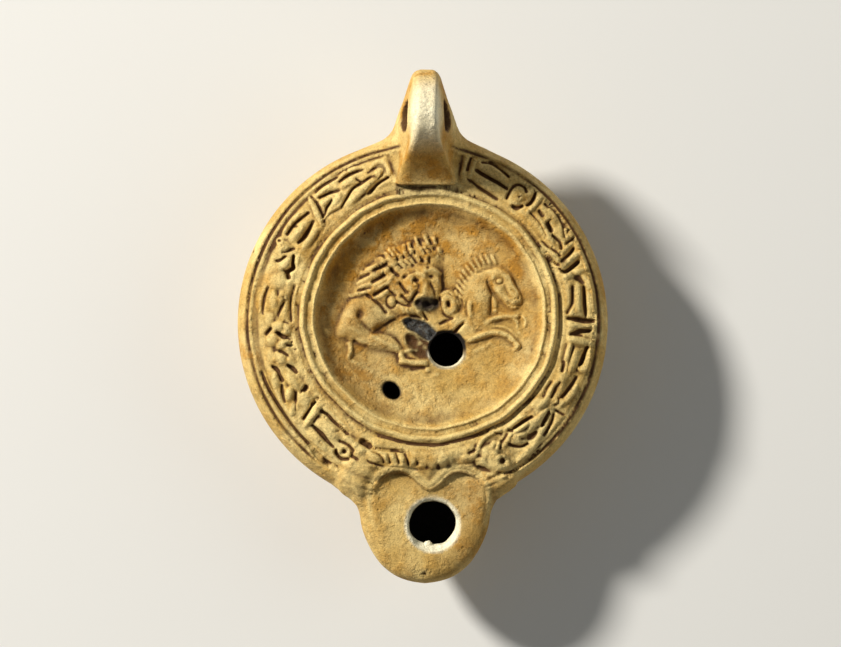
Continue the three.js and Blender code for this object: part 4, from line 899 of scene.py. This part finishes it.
class Lamp:
    """The lamp's distance field with its relief."""

    def __init__(self):
        self.relief, self.heart = build_relief()
        self.body = body_loop()
        self.plain_body = body_loop(ringed=False)
        # The first coarse net follows the plain form, which keeps it free of doubled edges
        self.detailed = True
        self.hollow = hollow_loop()
        self.nozzle_plan = nozzle_plan_map()
        self.handle_y, self.handle_columns = handle_table()
        levels = np.array(NOZZLE_LEVELS, float)
        fine = np.linspace(0, 1.1, 111)
        kernel = np.ones(5) / 5
        self.level_share = fine
        self.level_reach = np.convolve(np.pad(np.interp(fine, levels[:, 0], levels[:, 1]), 2, "edge"),
                                       kernel, "valid")
        self.level_width = np.convolve(np.pad(np.interp(fine, levels[:, 0], levels[:, 2]), 2, "edge"),
                                       kernel, "valid")

    def nozzle_field(self, x, y, z):
        share = z / NOZZLE_TOP
        reach = np.interp(share, self.level_share, self.level_reach)
        width = np.interp(share, self.level_share, self.level_width)
        plan_x = (x - NOZZLE_SHIFT) / width + NOZZLE_SHIFT
        plan_y = -(-y - NOZZLE_INNER * (1 - reach) * 0.4) / reach
        side = sample_map(self.nozzle_plan, plan_x, plan_y) * np.minimum(width, reach)
        side = np.maximum(side, NOZZLE_LEVELS[0][0] * NOZZLE_TOP - z)
        return -smooth_min(-side, NOZZLE_TOP - z, NOZZLE_EDGE_ROUND)

    def handle_field(self, x, y, z):
        crest, under, half, flank, hollow = (
            np.interp(y, self.handle_y, column) for column in self.handle_columns)
        top = BAND_INNER_HEIGHT + HANDLE_RISE * crest
        bottom = BAND_INNER_HEIGHT + HANDLE_RISE * under
        top_half = HANDLE_HALF * half
        flank_half = np.maximum(HANDLE_FLANK * flank, top_half)
        across = np.abs(x - HANDLE_SHIFT)
        widest = bottom + (top - bottom) * FLANK_WIDEST
        up = np.clip((z - widest) / (top - widest), 0, 1)
        down = np.clip((widest - z) / (widest - bottom), 0, 1)
        width = top_half + (flank_half - top_half) * (1 - up) ** hollow
        width = np.where(z < widest, flank_half * (1 - 0.58 * down**1.5), width)
        strip = np.clip(across / np.maximum(top_half, 0.1), 0, 1)
        top = top - 0.35 * np.cos(strip * math.pi / 2) ** 2 - 0.9 * strip**6
        side = (np.abs(x - HANDLE_SHIFT + FLANK_SHIFT) - width) * 0.85
        lids = np.maximum((z - top) * 0.75, (bottom - z) * 0.75)
        lids = np.maximum(lids, np.maximum(y - HANDLE_REACH, HANDLE_ROOT - y))
        return smooth_max(side, lids, 0.5)

    def cut_field(self, x, y, z, radius):
        """Everything that is empty: reservoir, channel, the three holes and the handle's bore."""
        hollow = outline_distance(self.hollow, radius, z)
        channel_z = NOZZLE_TOP - WALL - CHANNEL_HALVES[1]
        end = np.clip((-y - (CHANNEL_END - CHANNEL_HALVES[0])) / CHANNEL_HALVES[0], 0, None)
        across, up = (x - NOZZLE_SHIFT) / CHANNEL_HALVES[0], (z - channel_z) / CHANNEL_HALVES[1]
        channel = (np.sqrt(across**2 + up**2 + end**2) - 1) * CHANNEL_HALVES[1]
        channel = np.maximum(channel, y - CHANNEL_START)
        cut = smooth_min(hollow, channel, 1.2)
        fx, fy, fr = FILL_HOLE
        mouth = DISCUS_FLOOR
        fill = np.hypot(x - fx, y - fy) - fr - 0.55 * smooth_step(mouth - 1.2, mouth + 0.4, z)
        cut = np.minimum(cut, np.maximum(fill, HOLE_BOTTOM - z))
        wx, wy, wr = WICK_HOLE
        lean = np.hypot(x - wx, y - wy)
        # The mouth is worn back most on its lower right side
        worn = np.clip((0.62 * (x - wx) - 0.78 * (y - wy)) / np.maximum(lean, 0.1), 0, 1)
        below = np.clip((0.2 * (x - wx) - 0.98 * (y - wy)) / np.maximum(lean, 0.1), 0, 1)
        angle = np.arctan2(y - wy, x - wx)
        ragged = 0.12 * np.sin(3 * angle + 1) + 0.1 * np.sin(8 * angle)
        upper = smooth_step(NOZZLE_TOP - 1.6, NOZZLE_TOP + 0.1, z)
        lower = smooth_step(NOZZLE_TOP - 0.4, NOZZLE_TOP - 2.6, z)
        wick = lean - wr - (0.35 + 0.55 * worn + ragged) * upper
        wick = wick + (0.85 * below + ragged * below) * lower
        cut = np.minimum(cut, np.maximum(wick, channel_z - z))
        # A lump of clay left on the hole's wall
        lx, ly, lz, lump = WICK_LUMP
        cut = np.maximum(cut, lump - np.sqrt((x - lx) ** 2 + (y - ly) ** 2 + ((z - lz) * 0.7) ** 2))
        c, s = math.cos(-AIR_HOLE_TILT), math.sin(-AIR_HOLE_TILT)
        ax, ay = x - AIR_HOLE[0], y - AIR_HOLE[1]
        u = (ax * c + ay * s) / AIR_HOLE_HALVES[0]
        v = (ay * c - ax * s) / AIR_HOLE_HALVES[1]
        air = (np.hypot(u, v) - 1) * AIR_HOLE_HALVES[1]
        cut = np.minimum(cut, np.maximum(air, HOLE_BOTTOM - z))
        flare = smooth_step(3.2, 6.5, np.abs(x - HANDLE_SHIFT))
        bore = np.hypot(y - BORE_Y, z - BORE_HEIGHT) - BORE_RADIUS - 0.3 * flare
        return np.minimum(cut, bore)

    def __call__(self, points):
        x, y, z = points.T
        plain = np.hypot(x, y)
        radius = plain + (radius_at(x, y) - plain) * smooth_step(17, 22, z)
        body = outline_distance(self.body if self.detailed else self.plain_body, radius, z)
        heart = sample_map(self.heart, x, y)
        heart_cut = np.maximum(heart + 0.2, NOZZLE_TOP - z)
        body = np.maximum(body, -heart_cut)
        nozzle = self.nozzle_field(x, y, z)
        # The body's edge flows into the nozzle in a saddle beside the heart
        saddle = smooth_step(0.3, 3.5, heart) * smooth_step(10, 6.5, heart) * smooth_step(20.5, 23.5, z)
        below = 1 - smooth_step(19.5, 23.5, z)
        solid = smooth_min(body, nozzle, 0.12 + 2.0 * below + 5 * saddle)
        if self.detailed:
            solid = solid - smooth_step(*RELIEF_FADE, z) * sample_map(self.relief.height, x, y)
        handle = self.handle_field(x, y, z)
        blend = 0.3 + 2.6 * smooth_step(31.5, 37, y)
        solid = smooth_min(solid, handle, blend)
        return smooth_max(solid, -self.cut_field(x, y, z, radius), 0.25)


def field_in_parts(lamp, points, part=60000):
    return np.concatenate([lamp(points[k:k + part]) for k in range(0, len(points), part)])


def pull_to_surface(lamp, points, passes, most):
    """Newton steps along the field's slope, each at most a given length."""
    step = 0.04
    for _ in range(passes):
        value = field_in_parts(lamp, points)
        slope = np.stack([
            (field_in_parts(lamp, points + step * np.eye(3)[axis]) - value) / step for axis in range(3)
        ], -1)
        size = np.maximum((slope**2).sum(-1), 0.05)
        move = -value[:, None] * slope / size[:, None]
        length = np.linalg.norm(move, axis=-1, keepdims=True)
        points = points + move * np.minimum(1, most / np.maximum(length, 1e-9))
    return points


NET_LOW = (-42.6, -59.3, -1.45)
NET_HIGH = (43.0, 58.2, 47.5)


def surface_net(lamp, step):
    """Points and quads of a net over the field's zero surface, on a regular grid."""
    low = np.array(NET_LOW)
    counts = np.ceil((np.array(NET_HIGH) - low) / step).astype(int) + 1
    axes = [low[a] + step * np.arange(counts[a]) for a in range(3)]
    grid = np.stack(np.meshgrid(*axes, indexing="ij"), -1).reshape(-1, 3)
    values = field_in_parts(lamp, grid).reshape(counts)
    inside = values < 0
    cells = counts - 1
    total = np.zeros((*cells, 3))
    hits = np.zeros(cells)
    edges = []
    for axis in range(3):
        a = [slice(None)] * 3
        b = [slice(None)] * 3
        a[axis] = slice(0, -1)
        b[axis] = slice(1, None)
        va, vb = values[tuple(a)], values[tuple(b)]
        crossing = (va < 0) != (vb < 0)
        i = np.argwhere(crossing)
        share = (va / (va - vb))[crossing]
        place = i.astype(float)
        place[:, axis] += share
        others = [o for o in range(3) if o != axis]
        around_edge = []
        for du, dv in ((-1, -1), (0, -1), (0, 0), (-1, 0)):
            cell = i.copy()
            cell[:, others[0]] += du
            cell[:, others[1]] += dv
            around_edge.append(cell)
            keep = ((cell >= 0) & (cell < cells)).all(1)
            np.add.at(total, tuple(cell[keep].T), place[keep])
            np.add.at(hits, tuple(cell[keep].T), 1)
        flip = (va[crossing] < 0) == (axis != 1)
        edges.append((around_edge, flip))
    index = np.full(cells, -1)
    active = hits > 0
    index[active] = np.arange(active.sum())
    points = low + step * total[active] / hits[active][:, None]
    quads = []
    for around_edge, flip in edges:
        corners = np.stack([index[tuple(cell.T)] for cell in around_edge], -1)
        corners = np.where(flip[:, None], corners, corners[:, ::-1])
        quads.append(corners)
    return points, np.vstack(quads)


BASE_STEP = 1.16


def refine(mesh, chosen):
    """Cuts the chosen faces in half both ways."""
    bm = bmesh.new()
    bm.from_mesh(mesh)
    bm.faces.ensure_lookup_table()
    edges = {edge for k in np.flatnonzero(chosen) for edge in bm.faces[k].edges}
    bmesh.ops.subdivide_edges(bm, edges=list(edges), cuts=1, use_grid_fill=True)
    bm.to_mesh(mesh)
    bm.free()


def mesh_points(mesh):
    points = np.empty(len(mesh.vertices) * 3)
    mesh.vertices.foreach_get("co", points)
    return points.reshape(-1, 3)


def set_points(mesh, points):
    mesh.vertices.foreach_set("co", points.astype(np.float32).ravel())
    mesh.update()


def face_data(mesh):
    centres = np.empty(len(mesh.polygons) * 3)
    mesh.polygons.foreach_get("center", centres)
    normals = np.empty(len(mesh.polygons) * 3)
    mesh.polygons.foreach_get("normal", normals)
    return centres.reshape(-1, 3), normals.reshape(-1, 3)


def upper_surface(lamp):
    """Heights of the lamp's upper side over the plan."""
    gx, gy = np.meshgrid(lamp.relief.x, lamp.relief.y, indexing="ij")
    total = top_height(lamp.body, radius_at(gx, gy))
    away = np.hypot(gx, gy)
    edge = smooth_step(EDGE_RIDGE_RADIUS, 45, away)
    edge = BAND_OUTER_HEIGHT + (NOZZLE_TOP - BAND_OUTER_HEIGHT) * edge
    total = np.where(away > EDGE_RIDGE_RADIUS, edge, total)
    total = np.where(lamp.heart < 0, NOZZLE_TOP, total)
    return total + lamp.relief.height


# The finest faces go where the surface is most detailed, up to this number of triangles
TRIANGLES_MOST = 198000
TRIANGLES_A_FACE = 6.5


def build_lamp():
    """The lamp's mesh, in millimetres: a coarse net that is refined twice where it shows."""
    lamp = Lamp()
    lamp.detailed = False
    points, quads = surface_net(lamp, BASE_STEP)
    lamp.detailed = True
    points = pull_to_surface(lamp, points, 4, 0.5)
    mesh = bpy.data.meshes.new("lamp_clay")
    mesh.from_pydata(points.tolist(), [], quads.tolist())
    mesh.update()
    centres, normals = face_data(mesh)
    x, y, z = centres.T
    outer_top = (z > 21.2) & (normals[:, 2] > 0.05)
    handle = (y > 29) & (z > 17) & (np.abs(x - HANDLE_SHIFT) < 15)
    nozzle = (y < -38) & (z > 8) & (np.hypot(x, y) > 40)
    refine(mesh, outer_top | handle | nozzle)
    set_points(mesh, pull_to_surface(lamp, mesh_points(mesh), 1, 0.4))
    centres, normals = face_data(mesh)
    x, y, z = centres.T
    flat_top = (z > 21.4) & (normals[:, 2] > 0.25) & (radius_at(x, y) < 40)
    heart = sample_map(lamp.heart, x, y) < 1.2
    upper = (z > 21.4) & (normals[:, 2] > 0.2)
    chosen = (flat_top | (heart & upper)) & (np.abs(z - 23) < 8) & ~((y > 32) & (z > 30))
    surface = upper_surface(lamp)
    detail = sample_map(blur(np.abs(surface - blur(surface, 0.6)), 0.8), x, y)
    on_rim = (np.abs(sample_map(lamp.heart, x, y) - RIM_OUT) < 2) & (y > -47)
    detail = detail * np.where(on_rim, 3, 1)
    triangles = sum(len(face.vertices) - 2 for face in mesh.polygons)
    allowed = int((TRIANGLES_MOST - triangles) / TRIANGLES_A_FACE)
    finest = np.zeros(len(x), bool)
    finest[np.argsort(np.where(chosen, -detail, 1), kind="stable")[:allowed]] = True
    refine(mesh, chosen & finest)
    points = pull_to_surface(lamp, mesh_points(mesh), 2, 0.35)
    points[:, 2] = np.maximum(points[:, 2], 0)
    set_points(mesh, points)
    return lamp, mesh


def blotches(sigma, seed_shift, x, y):
    """Smooth random values at points in the plan."""
    return sample_map(noise_map(sigma, seed_shift), x, y)


def inside_outline(pixels, low, high, x, y):
    """1 inside an outline given in pixels, and 0 outside, between two distances from it."""
    loop = smooth_curve(to_mm(pixels), closed=True)
    return smooth_step(low, high, outline_distance(loop, x, y))


def relief_marks(lamp, x, y, top, heart):
    """How far points lie in hollows and on crests of the upper side, which are given deposits and
    painted shade, and painted highlights.
    """
    total = upper_surface(lamp)
    broad = blur(total, 0.9) - total
    fine = blur(total, 0.35) - total
    patchy = 0.95 + 0.3 * np.clip(blotches(1.8, 9, x, y), -1.5, 1.5)
    hollow = (sample_map(broad, x, y) * 1.7 + sample_map(fine, x, y) * 4.2) * patchy
    hollow = np.clip(hollow, 0, 1) * top
    # Less darkening in the hollows round the horse and on the lion's body, and an even brown over the
    # lion's body
    out = np.hypot(x, y)
    horse_side = smooth_step(6.5, 10, x) * smooth_step(DISCUS_RADIUS, DISCUS_RADIUS - 3, out)
    lion_body = smooth_step(-7, -9, x) * smooth_step(5.5, 3.5, y) * smooth_step(25, 22, out)
    hollow = hollow * (1 - 0.5 * horse_side - 0.35 * lion_body)
    hollow = hollow * (1 - 0.55 * smooth_step(0.4, -0.2, heart)) + 0.14 * lion_body * top
    # Painted shade over the right side of the heart
    hollow = hollow + 0.16 * top * smooth_step(4, 2, heart) * smooth_step(-3, 9, x) * (y < -36)
    crest = np.clip(-sample_map(broad, x, y) * 1.7 - sample_map(fine, x, y) * 3.6, 0, 1) * top
    # A painted highlight on the rim round the heart's lobes
    rim = np.exp(-(((heart - RIM_OUT) / 0.6) ** 2)) * smooth_step(-48, -40, y) * top
    return hollow, np.maximum(crest, 0.9 * rim)


def orange_share(x, y, z, radius, heart, on_handle):
    """How orange the clay is: most on the discus, least on the handle's tip, and deepened as painted
    shade on the discus's upper left and the nozzle's right side.
    """
    on_discus = smooth_step(DISCUS_RADIUS + 1, DISCUS_RADIUS - 1.5, radius)
    # Painted shade: the discus's orange deepens toward its upper left
    shade = smooth_step(-24, 22, y * 0.9 - x * 0.35)
    on_nozzle = smooth_step(3.5, 1.5, heart) * (y < -30)
    orange = on_discus * (0.4 + 0.6 * shade) + (1 - on_discus) * 0.3
    # Orange on the nozzle, deepened toward its right side as painted shade
    orange = orange + on_nozzle * (0.12 + 0.25 * smooth_step(0, 10, x))
    orange = orange + 0.17 * blotches(3.5, 8, x, y)
    west = smooth_step(-22, -36, x) * (1 - on_discus) * (y > -34)
    orange = orange + 0.3 * west * np.clip(blotches(2.2, 10, x, y), 0, 1.5)
    return np.where(on_handle > 0, 0.75 - 0.55 * smooth_step(33, 41, z), orange)


def lit_hole_walls(x, y, z):
    """A painted highlight on the lower sides of the walls of the wick hole and the filling hole, where
    light falls on them.
    """
    wx, wy, wick_radius = WICK_HOLE
    wick = np.hypot(x - wx, y - wy)
    toward = (0.25 * (x - wx) - 0.97 * (y - wy)) / np.maximum(wick, 0.1)
    angle = np.arctan2(y - wy, x - wx)
    ragged = 0.5 * np.sin(5.3 * angle) + 0.3 * np.sin(11.7 * angle)
    depth = 1.1 + 1.9 * smooth_step(-0.2, 0.8, toward) + 0.5 * ragged
    near = smooth_step(wick_radius + 1.3, wick_radius + 0.6, wick)
    pale = near * smooth_step(-0.25, 0.25, z - NOZZLE_TOP + depth)
    fx, fy, fill_radius = FILL_HOLE
    near = smooth_step(fill_radius + 0.9, fill_radius + 0.3, np.hypot(x - fx, y - fy))
    on_wall = smooth_step(DISCUS_FLOOR - 1.8, DISCUS_FLOOR - 1.3, z) * (z < 30)
    return np.maximum(pale, 0.9 * near * on_wall * smooth_step(0.5, -2.2, y - fy))


def mark_surface(lamp, mesh):
    """Stores what the clay's colours follow: hollows with deposits and painted shade, crests and lit
    walls with painted highlights, painted shade in the holes, and orange and burnt places.
    """
    x, y, z = mesh_points(mesh).T
    radius = radius_at(x, y)
    heart = sample_map(lamp.heart, x, y)
    on_handle = smooth_step(28.5, 30.5, z) * (y > 28)
    top = smooth_step(20.5, 22.5, z) * (np.hypot(x, y) < 62) * (1 - on_handle)
    hollow, crest = relief_marks(lamp, x, y, top, heart)
    # Painted shade in the lion's mouth, a painted shadow under the handle's root, and dark brown below
    # the break
    mouth = to_mm(LION_MOUTH)
    away = np.hypot((x - mouth[0]) * 0.75, (y - mouth[1]) * 1.3)
    mouth_shade = smooth_step(2.6, 1.5, away) * top
    # A painted shadow along the foot of the handle's root
    root = smooth_step(1.7, 1.1, np.abs(y - HANDLE_ROOT + 0.9))
    root = root * smooth_step(7.4, 6.4, np.abs(x - HANDLE_SHIFT)) * (z < 28.6)
    slope = inside_outline(SLOPE_OUTLINE, 0.6, -0.8, x, y) * top
    for dark in (mouth_shade, 0.95 * root, 0.85 * slope):
        hollow = np.maximum(hollow, dark)
    broken = inside_outline(BREAK_OUTLINE, 0.5, -0.4, x, y) * top
    orange = orange_share(x, y, z, radius, heart, on_handle)
    pale = lit_hole_walls(x, y, z)
    # Painted shade on the walls of the holes and the reservoir, and in the lion's mouth
    inside = smooth_step(0.35, 0.1, lamp.cut_field(x, y, z, radius))
    inside = np.maximum(inside * (1 - pale) * (z < 26), 0.85 * mouth_shade)
    # Painted shade inside the handle's bore
    bore = np.hypot(y - BORE_Y, z - BORE_HEIGHT) - BORE_RADIUS - 0.3
    bore = smooth_step(0.35, 0, bore) * (z > 27)
    hollow = np.maximum(hollow, 0.8 * bore)
    # A painted highlight toward the handle's top
    pale = np.maximum(pale, 0.85 * smooth_step(35, 45, z) * (1 - bore))
    data = np.stack([hollow, crest, np.clip(orange, 0, 1), broken], -1)
    other = np.stack([pale, inside, on_handle, top], -1)
    for name, values in (("marks", data), ("places", other)):
        attribute = mesh.attributes.new(name, "FLOAT_COLOR", "POINT")
        attribute.data.foreach_set("color", values.astype(np.float32).ravel())


# Materials

def add_node(tree, kind, place, **settings):
    node = tree.nodes.new(kind)
    node.location = place
    for key, value in settings.items():
        setattr(node, key, value)
    return node


def mix_colour(tree, place, factor, first, second, blend="MIX"):
    node = add_node(tree, "ShaderNodeMix", place, data_type="RGBA", blend_type=blend)
    node.clamp_factor = True
    for socket, value in ((node.inputs[0], factor), (node.inputs[6], first), (node.inputs[7], second)):
        if hasattr(value, "links"):
            tree.links.new(value, socket)
        elif isinstance(value, (int, float)):
            socket.default_value = value
        else:
            socket.default_value = (*value, 1)
    return node.outputs[2]


def math_node(tree, place, operation, first, second=None, clamp=False):
    node = add_node(tree, "ShaderNodeMath", place, operation=operation, use_clamp=clamp)
    for socket, value in zip(node.inputs, (first, second)):
        if value is None:
            continue
        if hasattr(value, "links"):
            tree.links.new(value, socket)
        else:
            socket.default_value = value
    return node.outputs[0]


def noise(tree, place, coordinates, scale, detail=4.0, roughness=0.55):
    node = add_node(tree, "ShaderNodeTexNoise", place)
    node.inputs["Scale"].default_value = scale
    node.inputs["Detail"].default_value = detail
    node.inputs["Roughness"].default_value = roughness
    tree.links.new(coordinates, node.inputs["Vector"])
    return node.outputs["Fac"]


def ramp(tree, place, factor, low, high):
    node = add_node(tree, "ShaderNodeMapRange", place)
    node.interpolation_type = "SMOOTHSTEP"
    node.inputs["From Min"].default_value = low
    node.inputs["From Max"].default_value = high
    tree.links.new(factor, node.inputs["Value"])
    return node.outputs["Result"]


CREAM = (0.76, 0.60, 0.27)
BUFF = (0.53, 0.355, 0.115)
OCHRE = (0.42, 0.235, 0.055)
ORANGE = (0.46, 0.22, 0.038)
BROWN = (0.085, 0.036, 0.009)
PALE = (0.83, 0.77, 0.57)
SHADE_DARK = (0.012, 0.008, 0.005)
SOOT = (0.022, 0.018, 0.014)
GREY = (0.075, 0.08, 0.08)


# Scales of the clay's patterns, from its broad patches to its specks and pits
BROAD_SCALE = 75
PATCH_SCALE = 210
GRAIN_SCALE = 1100
FINE_SCALE = 3200
SPECK_SCALE = 2300
PIT_SCALE = 620
ROUGHNESS = (0.68, 0.25)
SPECULAR = 0.35
BUMP_STRENGTH = 0.7
BUMP_DISTANCE = 0.00026


def stored_values(tree, name, place):
    """An attribute of the mesh: its three colours and its alpha."""
    node = add_node(tree, "ShaderNodeAttribute", place, attribute_name=name)
    parts = add_node(tree, "ShaderNodeSeparateColor", (place[0] + 200, place[1]))
    tree.links.new(node.outputs["Color"], parts.inputs[0])
    return (*parts.outputs, node.outputs["Alpha"])


def clay_colour(tree, coordinates, patches, grain, fine):
    """Mottled clay with deposits and painted shade in its hollows, painted highlights on its crests and
    lit walls, specks, burnt places and painted shade in the holes.
    """
    hollow, crest, orange, broken = stored_values(tree, "marks", (-1400, -300))
    pale, inside = stored_values(tree, "places", (-1400, -600))[:2]
    broad = noise(tree, (-1000, 300), coordinates, BROAD_SCALE, 5)
    cream_share = ramp(tree, (-800, 300), broad, 0.36, 0.66)
    patch_share = ramp(tree, (-800, 100), patches, 0.42, 0.68)
    colour = mix_colour(tree, (-600, 300), cream_share, BUFF, CREAM)
    warm = math_node(tree, (-600, 100), "MULTIPLY", orange, 0.85)
    patchy = math_node(tree, (-600, -50), "ADD", patch_share, 0.55)
    warm = math_node(tree, (-450, 100), "MULTIPLY", warm, patchy, clamp=True)
    colour = mix_colour(tree, (-300, 300), warm, colour, ORANGE)
    stain = math_node(tree, (-450, -150), "MULTIPLY", patch_share, 0.3)
    colour = mix_colour(tree, (-150, 300), stain, colour, OCHRE)
    # Deposits and painted shade in the hollows, and painted highlights on the crests
    patchy = math_node(tree, (-450, -300), "ADD", grain, 0.75)
    hollow_dirt_and_shade = math_node(tree, (-300, -300), "MULTIPLY", hollow, patchy, clamp=True)
    colour = mix_colour(tree, (0, 300), hollow_dirt_and_shade, colour, BROWN)
    # Painted highlights on the crests and the heart's rim
    patchy = math_node(tree, (-450, -450), "ADD", grain, 0.25)
    crest_highlight = math_node(tree, (-300, -450), "MULTIPLY", crest, patchy, clamp=True)
    crest_highlight = math_node(tree, (0, -450), "MULTIPLY", crest_highlight, 0.75)
    colour = mix_colour(tree, (150, 300), crest_highlight, colour, CREAM)
    # Painted highlights on the lit walls of the holes and on the handle's top
    patchy = math_node(tree, (-150, -600), "ADD", patches, 0.45)
    pale_share = math_node(tree, (0, -600), "MULTIPLY", pale, patchy, clamp=True)
    colour = mix_colour(tree, (300, 300), pale_share, colour, PALE)
    # Mottling and dark specks
    flecks = math_node(tree, (0, -150), "ADD", grain, fine)
    mottle = math_node(tree, (150, -150), "MULTIPLY_ADD", flecks, 1.1)
    mottle.node.inputs[2].default_value = -0.08
    tone = add_node(tree, "ShaderNodeHueSaturation", (450, 300))
    tone.inputs["Saturation"].default_value = 1.05
    tree.links.new(mottle, tone.inputs["Value"])
    tree.links.new(colour, tone.inputs["Color"])
    dots = noise(tree, (150, -300), coordinates, SPECK_SCALE, 2, 0.5)
    specks = math_node(tree, (450, -150), "MULTIPLY", ramp(tree, (300, -150), dots, 0.66, 0.76), 0.55)
    colour = mix_colour(tree, (600, 300), specks, tone.outputs[0], BROWN)
    burnt = mix_colour(tree, (450, -400), ramp(tree, (300, -400), grain, 0.42, 0.62), SOOT, GREY)
    colour = mix_colour(tree, (750, 300), broken, colour, burnt)
    # Painted shade inside the holes and in the lion's mouth
    return mix_colour(tree, (900, 300), inside, colour, SHADE_DARK)


def clay_bump(tree, coordinates, patches, grain, fine):
    """Grain and small pits."""
    height = math_node(tree, (600, -450), "MULTIPLY_ADD", fine, 0.75)
    tree.links.new(grain, height.node.inputs[2])
    cells = add_node(tree, "ShaderNodeTexVoronoi", (300, -650))
    cells.inputs["Scale"].default_value = PIT_SCALE
    tree.links.new(coordinates, cells.inputs["Vector"])
    round_pits = ramp(tree, (450, -650), cells.outputs["Distance"], 0.1, 0.3)
    pitted = ramp(tree, (450, -800), patches, 0.45, 0.6)
    pits = math_node(tree, (600, -650), "MULTIPLY", round_pits, pitted)
    bump = add_node(tree, "ShaderNodeBump", (900, -450))
    bump.inputs["Strength"].default_value = BUMP_STRENGTH
    bump.inputs["Distance"].default_value = BUMP_DISTANCE
    tree.links.new(math_node(tree, (750, -500), "ADD", height, pits), bump.inputs["Height"])
    return bump.outputs[0]


def clay_material():
    material = bpy.data.materials.new("fired_clay")
    material.use_nodes = True
    tree = material.node_tree
    tree.nodes.clear()
    output = add_node(tree, "ShaderNodeOutputMaterial", (1400, 0))
    shader = add_node(tree, "ShaderNodeBsdfPrincipled", (1100, 0))
    tree.links.new(shader.outputs[0], output.inputs[0])
    coordinates = add_node(tree, "ShaderNodeTexCoord", (-1400, 0)).outputs["Object"]
    patches = noise(tree, (-1000, 100), coordinates, PATCH_SCALE, 6, 0.62)
    grain = noise(tree, (-1000, -100), coordinates, GRAIN_SCALE, 5, 0.7)
    fine = noise(tree, (-1000, -250), coordinates, FINE_SCALE, 3, 0.6)
    patterns = (coordinates, patches, grain, fine)
    tree.links.new(clay_colour(tree, *patterns), shader.inputs["Base Color"])
    tree.links.new(clay_bump(tree, *patterns), shader.inputs["Normal"])
    least, spread = ROUGHNESS
    rough = math_node(tree, (750, -300), "MULTIPLY_ADD", patches, spread)
    rough.node.inputs[2].default_value = least
    tree.links.new(rough, shader.inputs["Roughness"])
    shader.inputs["Specular IOR Level"].default_value = SPECULAR
    return material


FLOOR_COLOUR = (0.72, 0.71, 0.69, 1)
FLOOR_HALF = 2.5


def floor_material():
    material = bpy.data.materials.new("pale_floor")
    material.use_nodes = True
    shader = material.node_tree.nodes["Principled BSDF"]
    shader.inputs["Base Color"].default_value = FLOOR_COLOUR
    shader.inputs["Roughness"].default_value = 0.9
    return material


def add_lamp():
    lamp, mesh = build_lamp()
    mark_surface(lamp, mesh)
    set_points(mesh, mesh_points(mesh) * 0.001)
    mesh.polygons.foreach_set("use_smooth", np.ones(len(mesh.polygons), bool))
    piece = bpy.data.objects.new("oil_lamp_clay", mesh)
    bpy.context.collection.objects.link(piece)
    bm = bmesh.new()
    bm.from_mesh(mesh)
    bmesh.ops.triangulate(bm, faces=bm.faces)
    bm.to_mesh(mesh)
    doubled = sum(1 for edge in bm.edges if not edge.is_manifold)
    print("lamp mesh: %d triangles, %d edges without exactly two faces" % (len(bm.faces), doubled))
    bm.free()
    mesh.materials.append(clay_material())
    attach(piece, "root")
    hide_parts("oil_lamp")
    return piece


def add_floor():
    mesh = bpy.data.meshes.new("floor")
    corners = [(FLOOR_HALF * a, FLOOR_HALF * b, 0) for a, b in ((-1, -1), (1, -1), (1, 1), (-1, 1))]
    mesh.from_pydata(corners, [], [(0, 1, 2, 3)])
    floor = bpy.data.objects.new("floor", mesh)
    bpy.context.collection.objects.link(floor)
    mesh.materials.append(floor_material())


def add_light(name, place, target, size, power, colour):
    data = bpy.data.lights.new(name, "AREA")
    data.shape = "DISK"
    data.size = size
    data.energy = power
    data.color = colour
    light = bpy.data.objects.new(name, data)
    bpy.context.collection.objects.link(light)
    light.location = place
    direction = np.subtract(target, place)
    yaw = math.atan2(direction[1], direction[0]) - math.pi / 2
    pitch = math.atan2(direction[2], math.hypot(direction[0], direction[1])) + math.pi / 2
    light.rotation_euler = (pitch, 0, yaw)


# Place, size, power and colour
KEY_LIGHT = ((-1.17, 0.70, 0.95), 0.24, 43, (1.0, 0.97, 0.90))
FILL_LIGHT = ((1.4, 0.1, 0.9), 1.2, 4.5, (0.93, 1.0, 0.96))
LIGHT_TARGET = (0, 0, 0.02)
WORLD_COLOUR = (1, 0.99, 0.97, 1)
WORLD_STRENGTH = 0.14


def add_lights():
    for name, (place, size, power, colour) in (("key", KEY_LIGHT), ("fill", FILL_LIGHT)):
        add_light(name, place, LIGHT_TARGET, size, power, colour)
    world = bpy.data.worlds.new("studio")
    world.use_nodes = True
    background = world.node_tree.nodes["Background"]
    background.inputs[0].default_value = WORLD_COLOUR
    background.inputs[1].default_value = WORLD_STRENGTH
    bpy.context.scene.world = world


PHOTO_SIZE = (841, 647)
SENSOR_WIDTH = 36
CAMERA_DISTANCE = 0.75
CAMERA_TILT = 4.0
CLIP_START = 0.01
CAMERA_LEVEL = 0.020


def add_camera():
    """Looks down on the lamp, a little from the nozzle's side, framed as in the photograph."""
    data = bpy.data.cameras.new("camera")
    data.sensor_width = SENSOR_WIDTH
    frame_width = PHOTO_SIZE[0] / PIXELS_PER_MM / 1000
    data.lens = data.sensor_width * CAMERA_DISTANCE / frame_width
    data.clip_start = CLIP_START
    camera = bpy.data.objects.new("camera", data)
    bpy.context.collection.objects.link(camera)
    middle = to_mm((PHOTO_SIZE[0] / 2, PHOTO_SIZE[1] / 2)) / 1000
    tilt = math.radians(CAMERA_TILT)
    camera.location = (middle[0], middle[1] - CAMERA_DISTANCE * math.sin(tilt),
                       CAMERA_LEVEL + CAMERA_DISTANCE * math.cos(tilt))
    camera.rotation_euler = (tilt, 0, 0)
    bpy.context.scene.camera = camera


add_camera()
add_floor()
add_lights()
add_lamp()
bpy.context.scene.view_settings.view_transform = "Standard"
